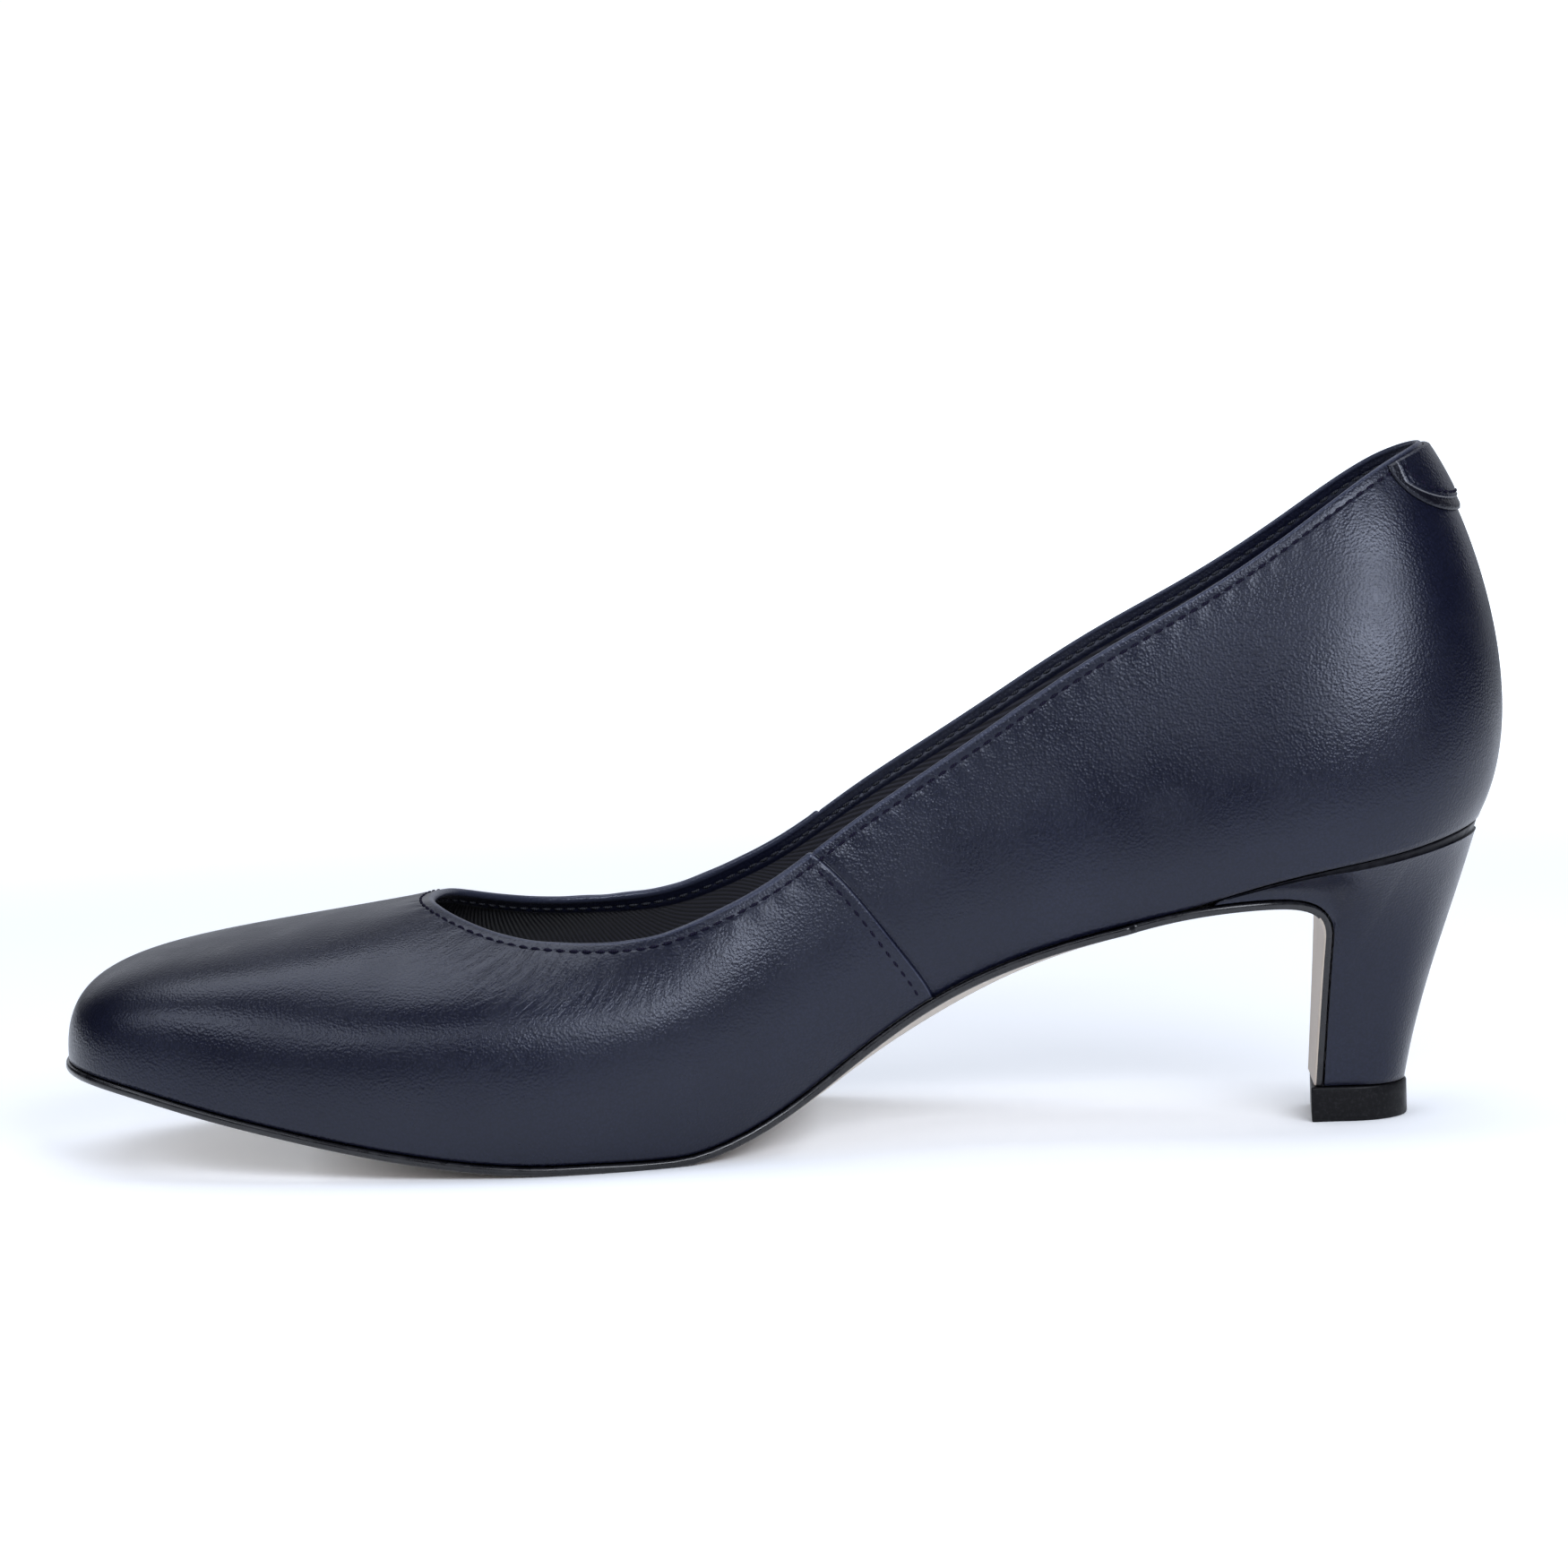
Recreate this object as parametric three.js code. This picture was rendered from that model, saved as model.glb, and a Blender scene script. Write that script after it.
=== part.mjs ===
// A round toe pump, the right shoe of a pair, standing empty on its sole and heel.
// Millimetres, +Z up. The toe points to -X and the inner side of the foot is at -Y.
// While it is built, x runs from the toe of the last and y from the heel's centre line.
// At the end the shoe is moved so that its box is centred on the origin and stands on z = 0.

import * as THREE from 'three';

// Last: the foot form that the shoe is pulled over
const lastLength = 235.2;
const ballWidth = 77;
const toeSpring = 15.9;
const heelRise = 48.3;
const archLift = 11;
const edgeLift = 3.3;

// Upper
const collarHeight = 64.6;
const wall = 1.8;
const vampStep = 0.5;

// Gap between pieces that meet, and the depth that the tread is pressed flat
const clearance = 0.3;
const treadPress = 0.15;

// Back tab
const tabWidth = 23;
const tabHeight = 9.5;
const tabThickness = 0.6;
const tabDrop = 0.6;

// Insole and outsole
const insoleThickness = 2.4;
const insoleBevel = 0.4;
const soleThickness = 1.4;
const soleEdge = 0.7;
const edgeRound = 0.35;

// Heel and top lift. The breast is the heel's front face, which the outsole runs down
const liftHeight = 5.8;
const liftLength = 15.8;
const liftWidth = 17.6;
const liftCorner = 7;
const liftSetback = 13.2;
const liftStep = 0.3;
const heelInset = 0.2;
const breastLean = 4.3;
const breastDrop = 2.7;
const waistArm = 18;
const bendArm = 11.5;

// Side lines of the heel: lean from upright at the seat and at the lift, in degrees, and the
// arms of their curve as shares of its span
const seatLean = { breast: 40, back: 15 };
const footLean = { breast: 4, back: 11 };
const seatArm = 0.3;
const footArm = 0.38;

// Facets
const columnsPerRow = 4;
const outerRows = 13;
const innerRows = 8;
const flapRows = 21;
const flapAcross = 4;
const heelRows = 9;
const heelColumns = 10;
const heelAcross = 6;

// Wall lines of the upper, from the toe to the back of the heel. Each runs from the feather
// edge at the sole to the topline. Shares: at and topAt of the last's length, inner, outer,
// topIn and topOut of the ball width, depth of the collar height. Degrees: flareIn and flareOut
// lean the foot of the line outwards, lean turns its head outwards from straight down.
// foot and head are the arms of the line's curve, as shares of its span.
const wallLines = [
  // at, inner, outer, topAt, topIn, topOut, depth, flareIn, flareOut, foot, lean, head
  [0.0012, 0.065, 0.000, 0.2581, 0.010, 0.000, 0.583, 2, 2, 0.280, 81, 0.720],
  [0.0165, 0.273, 0.143, 0.2649, 0.126, 0.130, 0.582, 3, 3, 0.285, 79, 0.670],
  [0.0660, 0.403, 0.305, 0.2836, 0.214, 0.225, 0.568, 5, 5, 0.290, 73, 0.540],
  [0.1492, 0.475, 0.416, 0.3202, 0.306, 0.325, 0.545, 8, 7, 0.300, 63, 0.440],
  [0.2428, 0.503, 0.478, 0.3661, 0.362, 0.392, 0.535, 11, 8, 0.320, 54, 0.420],
  [0.3321, 0.497, 0.501, 0.4171, 0.384, 0.424, 0.548, 15, 10, 0.335, 39, 0.385],
  [0.4128, 0.445, 0.496, 0.4724, 0.374, 0.420, 0.598, 18, 11, 0.340, 23, 0.360],
  [0.4936, 0.351, 0.449, 0.5319, 0.340, 0.385, 0.618, 24, 12, 0.330, 11, 0.340],
  [0.5744, 0.288, 0.384, 0.5957, 0.310, 0.345, 0.625, 28, 14, 0.320, 5, 0.330],
  [0.6594, 0.270, 0.335, 0.6616, 0.286, 0.312, 0.651, 28, 16, 0.310, 3, 0.330],
  [0.7445, 0.288, 0.314, 0.7317, 0.265, 0.284, 0.718, 26, 18, 0.300, 5, 0.330],
  [0.8295, 0.317, 0.322, 0.8040, 0.245, 0.258, 0.790, 25, 22, 0.300, 10, 0.310],
  [0.9060, 0.319, 0.319, 0.8720, 0.219, 0.228, 0.885, 26, 25, 0.310, 19, 0.270],
  [0.9715, 0.218, 0.218, 0.9328, 0.156, 0.160, 0.981, 28, 28, 0.330, 30, 0.215],
  [0.9996, 0.000, 0.000, 0.9642, 0.000, 0.000, 0.998, 29, 29, 0.345, 36, 0.205],
];

// Bottom of the last, at even steps from the toe to the back of the heel. Shares: spring of
// the toe spring, rise of the heel's rise, arch of the arch lift on the inner side, and cup
// of the edge lift on both sides. The lifts grow with the square of the distance from y = 0.
const bottomRows = [
  // spring, rise, arch, cup
  [1.000, 0.000, 0.00, 0.50],
  [0.811, 0.000, 0.00, 0.45],
  [0.585, 0.000, 0.00, 0.40],
  [0.390, 0.000, 0.00, 0.30],
  [0.208, 0.000, 0.00, 0.25],
  [0.070, 0.000, 0.00, 0.20],
  [0.004, 0.000, 0.00, 0.10],
  [0.000, 0.000, 0.00, 0.05],
  [0.000, 0.004, 0.02, 0.05],
  [0.000, 0.075, 0.36, 0.10],
  [0.000, 0.244, 0.70, 0.15],
  [0.000, 0.406, 1.00, 0.25],
  [0.000, 0.542, 0.75, 0.40],
  [0.000, 0.641, 0.38, 0.60],
  [0.000, 0.718, 0.12, 0.75],
  [0.000, 0.788, 0.12, 0.90],
  [0.000, 0.854, 0.03, 1.00],
  [0.000, 0.915, 0.00, 0.90],
  [0.000, 1.000, 0.00, 0.75],
];

// Width of the outsole from the waist's end down to the lift, at even steps, as shares of
// what the waist is wider than the lift
const flapTaper = [1, 1.03, 1.03, 0.92, 0.62, 0.34, 0.18, 0.08, 0];

// Places counted in wall lines: the side seams' ends at the feather edge and at the topline,
// how far around the seams bend the grid, the end of the waist, and the heel's wing and corner
const seamFoot = 8.43;
const seamHead = 7;
const seamReach = 3.5;
const seamCurve = 1.7;
const waistRow = 10;
const wingRow = 10.75;
const cornerRow = 12.6;

// Flap row where the heel's wing begins
const wingFlapRow = 5;

// Spine of the insole and of the outsole, as shares of the last's length: facing points of
// the two sides meet on it
const spineStart = 0.1;
const spineEnd = 0.9;

const rad = THREE.MathUtils.degToRad;
const { clamp, lerp } = THREE.MathUtils;
const smooth = (t) => THREE.MathUtils.smoothstep(t, 0, 1);
const evenSteps = (count, from = 0, to = 1) => Array.from(
  { length: count + 1 }, (_, i) => lerp(from, to, i / count));

const halfBall = ballWidth / 2;
const vampFace = vampStep / 2;
const quarterFace = -vampStep / 2;
const restHeight = soleThickness + clearance - treadPress;
const heelLine = wallLines.length - 1;
const loopRows = 2 * heelLine;
const loopColumns = loopRows * columnsPerRow;

// Weights of the four control points of a uniform cubic B-spline, at t from 0 to 1
function splineWeights(t) {
  const s = 1 - t;
  return [s ** 3, 3 * t ** 3 - 6 * t ** 2 + 4, 3 * s ** 3 - 6 * s ** 2 + 4, t ** 3].map((w) => w / 6);
}

// Rows of a closed loop, and of an open table that goes on straight past its ends
const around = (rows, i) => rows[(i + rows.length) % rows.length];
function along(rows, i) {
  const end = rows.length - 1;
  if (i < 0) return rows[0].map((value, k) => 2 * value - rows[1][k]);
  if (i > end) return rows[end].map((value, k) => 2 * value - rows[end - 1][k]);
  return rows[i];
}

// Control rows of the spline that passes through the rows: c[i] = (6 p[i] - c[i-1] - c[i+1]) / 4
function controlRows(rows, pick) {
  let control = rows;
  for (let pass = 0; pass < 40; pass += 1) {
    const last = control;
    control = rows.map((row, i) => row.map(
      (value, k) => (6 * value - pick(last, i - 1)[k] - pick(last, i + 1)[k]) / 4));
  }
  return control;
}

function splineAt(control, pick, t) {
  const i = Math.floor(t);
  const near = splineWeights(t - i).map((weight, n) => [weight, pick(control, i + n - 1)]);
  return control[0].map((_, k) => near.reduce((sum, [weight, row]) => sum + weight * row[k], 0));
}

const bottomControl = controlRows(bottomRows, along);

// Lift of the last's bottom beside the centre line: (arch + cup) (y / half ball)^2
function sideLift(x, y) {
  const t = clamp(x / lastLength, 0, 1) * (bottomRows.length - 1);
  const [, , arch, cup] = splineAt(bottomControl, along, t);
  const lift = edgeLift * cup + (y < 0 ? archLift * Math.max(arch, 0) : 0);
  return lift * (y / halfBall) ** 2;
}

// Height of the last's bottom: z = rest + spring + rise + side lift
function bottomHeight(x, y) {
  const t = clamp(x / lastLength, 0, 1) * (bottomRows.length - 1);
  const [spring, rise] = splineAt(bottomControl, along, t);
  return restHeight + toeSpring * spring + heelRise * rise + sideLift(x, y);
}

// One closed loop of wall lines: toe, inner side, heel, outer side
const loopLines = Array.from({ length: loopRows }, (_, i) => {
  const inside = i <= heelLine;
  const line = wallLines[inside ? i : loopRows - i];
  const [at, inner, outer, topAt, topIn, topOut, depth, flareIn, flareOut, foot, lean, head] = line;
  return inside
    ? [at, -inner, topAt, -topIn, depth, flareIn, foot, lean, head]
    : [at, outer, topAt, topOut, depth, flareOut, foot, lean, head];
});
const loopControl = controlRows(loopLines, around);

function lineAt(u) {
  const row = splineAt(loopControl, around, u);
  const [at, width, topAt, topSide, depth, flare, foot, lean, head] = row;
  return {
    feather: new THREE.Vector2(at * lastLength, width * ballWidth),
    topline: new THREE.Vector2(topAt * lastLength, topSide * ballWidth),
    depth: depth * collarHeight,
    flare: rad(flare),
    foot,
    lean: rad(lean),
    head,
  };
}

const lastEnd = lineAt(heelLine).feather.x;

// Outward direction in plan of the feather edge or of the topline
function outward(u, loop) {
  const step = 0.05;
  const run = lineAt(u + step)[loop].sub(lineAt(u - step)[loop]).normalize();
  return new THREE.Vector2(-run.y, run.x).negate();
}

const featherPoint = (u) => {
  const { x, y } = lineAt(u).feather;
  return new THREE.Vector3(x, y, bottomHeight(x, y));
};

// Direction that leans by an angle from the vertical towards a direction in plan
const leaning = (plan, angle, up) => new THREE.Vector3(
  plan.x * Math.sin(angle), plan.y * Math.sin(angle), up * Math.cos(angle));

// One line of the wall: a cubic curve whose arms lean outwards by flare at the feather edge
// and by lean at the topline
function wallCurve(u) {
  const line = lineAt(u);
  const start = featherPoint(u);
  const topHeight = bottomHeight(line.topline.x, 0) + line.depth;
  const end = new THREE.Vector3(line.topline.x, line.topline.y, topHeight);
  const span = start.distanceTo(end);
  const footArm = leaning(outward(u, 'feather'), line.flare, 1).multiplyScalar(line.foot * span);
  const headArm = leaning(outward(u, 'topline'), line.lean, -1).multiplyScalar(line.head * span);
  return new THREE.CubicBezierCurve3(start, footArm.add(start), headArm.add(end), end);
}

// Outside of the wall at u around the shoe and v up the wall, moved outwards by an offset
function wallPoint(u, v, offset = 0) {
  const point = wallCurve(u).getPoint(v);
  if (offset === 0) return point;
  const du = 0.02;
  const dv = 0.01;
  const inner = clamp(v, dv, 1 - dv);
  const across = wallCurve(u + du).getPoint(inner).sub(wallCurve(u - du).getPoint(inner));
  const curve = wallCurve(u);
  const up = curve.getPoint(inner + dv).sub(curve.getPoint(inner - dv));
  return point.addScaledVector(across.cross(up).normalize(), offset);
}

// A point on the last's bottom, moved outwards in plan from the feather edge
function bottomPoint(u, offset) {
  const plan = lineAt(u).feather.addScaledVector(outward(u, 'feather'), offset);
  return new THREE.Vector3(plan.x, plan.y, bottomHeight(plan.x, plan.y));
}

// The grid's columns bend so that one of them follows each side seam
function bentColumn(s, v) {
  const slide = (seamFoot - seamHead) * (1 - v ** seamCurve);
  const near = (seam) => 1 - smooth(clamp(Math.abs(s - seam) / seamReach, 0, 1));
  return s + slide * (near(seamHead) - near(loopRows - seamHead));
}

// A closed solid from triangles: shared corners are joined and empty triangles are dropped
function solidFrom(triangles) {
  const grain = 1e4;
  const corners = new Map();
  const position = [];
  const index = [];
  const cornerOf = (p) => {
    const key = [p.x, p.y, p.z].map((value) => Math.round(value * grain)).join();
    if (!corners.has(key)) {
      corners.set(key, position.length / 3);
      position.push(p.x, p.y, p.z);
    }
    return corners.get(key);
  };
  let volume = 0;
  for (const [a, b, c] of triangles) {
    const [i, j, k] = [a, b, c].map(cornerOf);
    if (i !== j && j !== k && k !== i) {
      index.push(i, j, k);
      volume += a.dot(b.clone().cross(c)) / 6;
    }
  }
  if (volume < 0) index.reverse();
  const geometry = new THREE.BufferGeometry();
  geometry.setAttribute('position', new THREE.Float32BufferAttribute(position, 3));
  geometry.setIndex(index);
  geometry.computeVertexNormals();
  return geometry;
}

// Triangles of a grid of points. A closed grid joins its last line to its first
function gridTriangles(lines, { closedLines = true, closedAcross = true } = {}) {
  const triangles = [];
  const lineEnd = closedLines ? lines.length : lines.length - 1;
  for (let i = 0; i < lineEnd; i += 1) {
    const here = lines[i];
    const next = lines[(i + 1) % lines.length];
    const acrossEnd = closedAcross ? here.length : here.length - 1;
    for (let j = 0; j < acrossEnd; j += 1) {
      const k = (j + 1) % here.length;
      triangles.push([here[j], next[j], next[k]], [here[j], next[k], here[k]]);
    }
  }
  return triangles;
}

// Upper: one hollow wall, open at the topline and underneath. Its profile runs up the outside,
// over a round rim and down the inside
function upperProfile([s, step]) {
  const outside = evenSteps(outerRows).map((v) => wallPoint(bentColumn(s, v), v, step));
  outside[0] = bottomPoint(bentColumn(s, 0), step);
  const inside = evenSteps(innerRows, 1, 0).map((v) => wallPoint(bentColumn(s, v), v, -wall));
  inside[innerRows] = bottomPoint(bentColumn(s, 0), -wall);
  const middle = outside[outerRows].clone().lerp(inside[0], 0.5);
  const reach = outside[outerRows].clone().sub(middle);
  const rise = outside[outerRows].clone().sub(outside[outerRows - 1]).setLength(reach.length());
  const rim = [45, 90, 135].map((angle) => middle.clone()
    .addScaledVector(reach, Math.cos(rad(angle)))
    .addScaledVector(rise, Math.sin(rad(angle))));
  return [...outside, ...rim, ...inside];
}

// Columns of the upper with the step of their outside: the vamp lies over the quarters, and
// each seam has one column for either side of the step
function seamColumns() {
  const farSeam = loopRows - seamHead;
  return evenSteps(loopColumns, 0, loopRows).slice(0, -1).flatMap((s) => {
    if (s === seamHead) return [[s, vampFace], [s, quarterFace]];
    if (s === farSeam) return [[s, quarterFace], [s, vampFace]];
    return [[s, s > seamHead && s < farSeam ? quarterFace : vampFace]];
  });
}

const makeUpper = () => solidFrom(gridTriangles(seamColumns().map(upperProfile)));

// Place on the spine for a place u on the loop, the same for both sides
function spineAt(u) {
  const { x } = lineAt(u <= heelLine ? u : loopRows - u).feather;
  return clamp(x, spineStart * lastLength, spineEnd * lastLength);
}

// Insole: a board inside the foot of the wall
function makeInsole() {
  const rings = [0, 0.4, 0.75, 1];
  const profiles = evenSteps(loopColumns, 0, loopRows).slice(0, -1).map((s) => {
    const u = bentColumn(s, 0);
    const spine = spineAt(u);
    const level = (height, inset) => rings.map((r) => {
      const edge = bottomPoint(u, -wall - clearance - inset);
      const x = lerp(spine, edge.x, r);
      const y = edge.y * r;
      return new THREE.Vector3(x, y, bottomHeight(x, y) + height);
    });
    return [...level(0, 0), ...level(insoleThickness, insoleBevel).reverse()];
  });
  return solidFrom(gridTriangles(profiles, { closedAcross: false }));
}

// Outsole's route beyond the waist, in x and z: a cubic bend off the last's bottom, then a
// straight line down the breast to the lift. It is the side of the sole that meets the heel
const liftBack = lastEnd - liftSetback;
const liftFront = liftBack - liftLength;
const liftTop = liftHeight + clearance;
const waistX = lineAt(waistRow).feather.x;

function soleRoute() {
  const slopeStep = 0.5;
  const height = (x) => bottomHeight(x, 0) - clearance;
  const start = new THREE.Vector2(waistX, height(waistX));
  const ahead = new THREE.Vector2(slopeStep, height(waistX + slopeStep) - height(waistX));
  const foot = new THREE.Vector2(liftFront + soleThickness, liftTop);
  const bendHeight = start.y - breastDrop;
  const lean = Math.tan(rad(breastLean));
  const bend = new THREE.Vector2(foot.x + lean * (bendHeight - foot.y), bendHeight);
  const upBreast = bend.clone().sub(foot).setLength(bendArm);
  const route = new THREE.CurvePath();
  route.add(new THREE.CubicBezierCurve(
    start, start.clone().add(ahead.setLength(waistArm)), bend.clone().add(upBreast), bend));
  route.add(new THREE.LineCurve(bend, foot));
  return route;
}
const route = soleRoute();
const routeLength = route.getLength();
const soleEnd = waistX + routeLength;

// Upper side of the outsole at p along it and y across, and the direction to its tread side.
// Up to the waist's end p is x, beyond it p goes on along the route
function soleTop(p, y) {
  if (p <= waistX) {
    const step = 0.5;
    const slope = (bottomHeight(p + step, 0) - bottomHeight(p - step, 0)) / (2 * step);
    const down = new THREE.Vector3(slope, 0, -1).normalize();
    return { point: new THREE.Vector3(p, y, bottomHeight(p, y) - clearance), down };
  }
  const t = Math.min((p - waistX) / routeLength, 1);
  const at = route.getPointAt(t);
  const run = route.getTangentAt(t);
  const lift = sideLift(waistX, y) * (1 - smooth(clamp(2 * t, 0, 1)));
  return {
    point: new THREE.Vector3(at.x, y, at.y + lift),
    down: new THREE.Vector3(run.y, 0, -run.x),
  };
}

// Half width of the outsole beyond the waist, on the side of a sign
const taperControl = controlRows(flapTaper.map((share) => [share]), along);
function flapSide(p, side) {
  const waist = bottomPoint(side < 0 ? waistRow : loopRows - waistRow, soleEdge).y;
  const t = clamp((p - waistX) / routeLength, 0, 1) * (flapTaper.length - 1);
  const [share] = splineAt(taperControl, along, t);
  return lerp(side * liftWidth / 2, waist, share);
}

// Outline of the outsole in p and y, with the spine's place and the outward direction
function soleOutline() {
  const steps = evenSteps(Math.round(waistRow * columnsPerRow), 0, waistRow)
    .map((s) => bentColumn(s, 0));
  const loopPart = (u) => {
    const out = outward(u, 'feather');
    const plan = lineAt(u).feather.addScaledVector(out, soleEdge);
    return { p: plan.x, y: plan.y, spine: spineAt(u), out };
  };
  const lastSpine = soleEnd - routeLength / flapRows;
  const flapPart = (side) => (t) => {
    const p = lerp(waistX, soleEnd, t);
    return { p, y: flapSide(p, side), spine: Math.min(p, lastSpine), out: new THREE.Vector2(0, side) };
  };
  const flapSteps = evenSteps(flapRows).slice(1);
  const endSide = flapSide(soleEnd, 1);
  const end = evenSteps(flapAcross, -endSide, endSide).slice(1, -1).map((y) => (
    { p: soleEnd, y, spine: lastSpine, out: new THREE.Vector2(0, 0) }));
  return [
    ...steps.map(loopPart),
    ...flapSteps.map(flapPart(-1)),
    ...end,
    ...flapSteps.map(flapPart(1)).reverse(),
    ...steps.slice(1).map((u) => loopPart(loopRows - u)).reverse(),
  ];
}

// Outsole: a thin plate along the last's bottom and down the breast, with a rounded edge
// and a tread pressed flat on the floor
function makeOutsole() {
  const rings = [0, 0.4, 0.75, 0.94];
  const profiles = soleOutline().map(({ p, y, spine, out }) => {
    const layer = (r, inset, depth) => {
      const q = lerp(spine, p - out.x * inset, r);
      const { point, down } = soleTop(q, (y - out.y * inset) * r);
      point.addScaledVector(down, depth);
      point.z = Math.max(point.z, 0);
      return point;
    };
    const top = rings.map((r) => layer(r, edgeRound, 0));
    const tread = rings.map((r) => layer(r, edgeRound, soleThickness)).reverse();
    const edge = [
      layer(1, edgeRound, 0), layer(1, 0, soleThickness / 2), layer(1, edgeRound, soleThickness)];
    return [...top, ...edge, ...tread];
  });
  return solidFrom(gridTriangles(profiles, { closedAcross: false }));
}

// Half of the lift's outline on the side of a sign: straight, then an elliptic back.
// t runs from the front corner to the back's middle
function liftSide(t, side, front, back, halfWidth) {
  const corner = front + liftCorner;
  const straight = liftCorner / (liftCorner + (back - corner) * Math.PI / 2);
  if (t <= straight) return new THREE.Vector2(lerp(front, corner, t / straight), side * halfWidth);
  const angle = (t - straight) / (1 - straight) * Math.PI / 2;
  return new THREE.Vector2(
    corner + (back - corner) * Math.sin(angle), side * halfWidth * Math.cos(angle));
}

// A side line of the heel, from the seat's edge to the lower edge. turn is 0 along the breast
// and grows to 1 at the middle of the back
function heelLineAt(at, end, turn) {
  const edge = bottomPoint(at, quarterFace);
  edge.z -= clearance;
  const out = outward(at, 'feather');
  const span = edge.distanceTo(end);
  const seatTurn = rad(lerp(seatLean.breast, seatLean.back, turn));
  const footTurn = rad(lerp(footLean.breast, footLean.back, turn));
  const seatEnd = leaning(out, -seatTurn, -1).multiplyScalar(seatArm * span).add(edge);
  const footEnd = leaning(out, footTurn, 1).multiplyScalar(footArm * span).add(end);
  return new THREE.CubicBezierCurve3(edge, seatEnd, footEnd, end).getPoints(heelRows);
}

// Stations of the heel: from the wing's tip down the breast's edge to the lift, then around the
// lift's back. under gives a point of the heel's lower face at y
function heelStations() {
  const breast = evenSteps(flapRows).slice(wingFlapRow).map((station) => {
    const t = (station * flapRows - wingFlapRow) / (flapRows - wingFlapRow);
    const p = lerp(waistX, soleEnd, station);
    const under = (y) => {
      const { point, down } = soleTop(p, y);
      point.addScaledVector(down, -clearance);
      if (station === 1) point.z = liftTop;
      return point;
    };
    const sides = [-1, 1].map((side) => flapSide(p, side) - side * heelInset);
    return { u: lerp(wingRow, cornerRow, Math.sqrt(t)), ends: sides.map(under), under, turn: 0 };
  });
  const [corner, farCorner] = breast.at(-1).ends;
  const back = evenSteps(heelColumns).slice(1).map((t) => {
    const ends = [-1, 1].map((side) => {
      const plan = liftSide(t, side, corner.x, liftBack - liftStep, farCorner.y);
      return new THREE.Vector3(plan.x, plan.y, liftTop);
    });
    const under = (y) => new THREE.Vector3(ends[0].x, y, liftTop);
    return { u: lerp(cornerRow, heelLine, t), ends, under, turn: t };
  });
  return [...breast, ...back];
}

// Heel block: each station is a ring up the inner side, across the seat, down the outer side
// and back across the lower face. A cap closes the wing's tip
function makeHeel() {
  const across = evenSteps(heelAcross).slice(1, -1);
  const loops = heelStations().map(({ u, ends, under, turn }) => {
    const inner = heelLineAt(u, ends[0], turn);
    const outer = heelLineAt(loopRows - u, ends[1], turn);
    const seat = across.map((t) => {
      const point = inner[0].clone().lerp(outer[0], t);
      point.z = bottomHeight(point.x, point.y) - clearance;
      return point;
    });
    const lower = across.map((t) => under(lerp(ends[1].y, ends[0].y, t)));
    return { inner, outer, seat, lower };
  });
  const rings = loops.map(({ inner, outer, seat, lower }) => (
    [...inner.slice().reverse(), ...seat, ...outer, ...lower]));
  const tip = loops[0];
  const middle = tip.seat.map((high, j) => (
    evenSteps(heelRows).map((t) => high.clone().lerp(tip.lower.at(-1 - j), t))));
  const cap = [tip.inner, ...middle, tip.outer];
  const open = { closedLines: false };
  return solidFrom([
    ...gridTriangles(rings, open), ...gridTriangles(cap, { ...open, closedAcross: false })]);
}

// Top lift: the walking surface under the heel
function makeTopLift() {
  const front = liftFront;
  const half = evenSteps(heelColumns).map((t) => liftSide(t, -1, front, liftBack, liftWidth / 2));
  const other = half.slice(0, -1).reverse().map((point) => new THREE.Vector2(point.x, -point.y));
  const shape = new THREE.Shape([...half, ...other]);
  const geometry = new THREE.ExtrudeGeometry(shape, { depth: liftHeight, bevelEnabled: false });
  return geometry;
}

// Back tab: a thin patch over the back of the topline, wide at the top with a round lower end
function makeBackTab() {
  const columns = 16;
  const rows = 5;
  let [near, far] = [heelLine - 2, heelLine];
  for (let pass = 0; pass < 30; pass += 1) {
    const middle = (near + far) / 2;
    if (lineAt(middle).topline.y < -tabWidth / 2) near = middle;
    else far = middle;
  }
  const reach = heelLine - near;
  const profiles = evenSteps(columns, -1, 1).map((a) => {
    const u = heelLine + a * reach;
    const curve = wallCurve(u);
    const speed = 3 * curve.v2.distanceTo(curve.v3);
    const drop = tabDrop + (tabHeight - tabDrop) * Math.max(1 - Math.abs(a) ** 2.6, 0) ** 0.5;
    const level = (d, offset) => wallPoint(u, 1 - d / speed, offset);
    const inside = evenSteps(rows, tabDrop, drop).map((d) => level(d, quarterFace + clearance));
    const outside = evenSteps(rows, drop, tabDrop).map((d) => level(d, quarterFace + clearance + tabThickness));
    return [...inside, ...outside];
  });
  return solidFrom(gridTriangles(profiles, { closedLines: false }));
}

const navyLeather = new THREE.MeshStandardMaterial({ color: 0x23283c, roughness: 0.5, metalness: 0 });
const heelLeather = new THREE.MeshStandardMaterial({ color: 0x262b3e, roughness: 0.55, metalness: 0 });
const tabLeather = new THREE.MeshStandardMaterial({ color: 0x20253a, roughness: 0.5, metalness: 0 });
const lining = new THREE.MeshStandardMaterial({ color: 0x15171f, roughness: 0.9, metalness: 0 });
const soleMaterial = new THREE.MeshStandardMaterial({ color: 0xbdb5a8, roughness: 0.6, metalness: 0 });
const liftMaterial = new THREE.MeshStandardMaterial({ color: 0x121214, roughness: 0.5, metalness: 0 });

const pieces = [
  ['upper', makeUpper(), navyLeather],
  ['insole', makeInsole(), lining],
  ['outsole', makeOutsole(), soleMaterial],
  ['heel', makeHeel(), heelLeather],
  ['top_lift', makeTopLift(), liftMaterial],
  ['back_tab', makeBackTab(), tabLeather],
];

const shoe = new THREE.Group();
for (const [name, geometry, material] of pieces) {
  const mesh = new THREE.Mesh(geometry, material);
  mesh.name = name;
  shoe.add(mesh);
}

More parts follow.
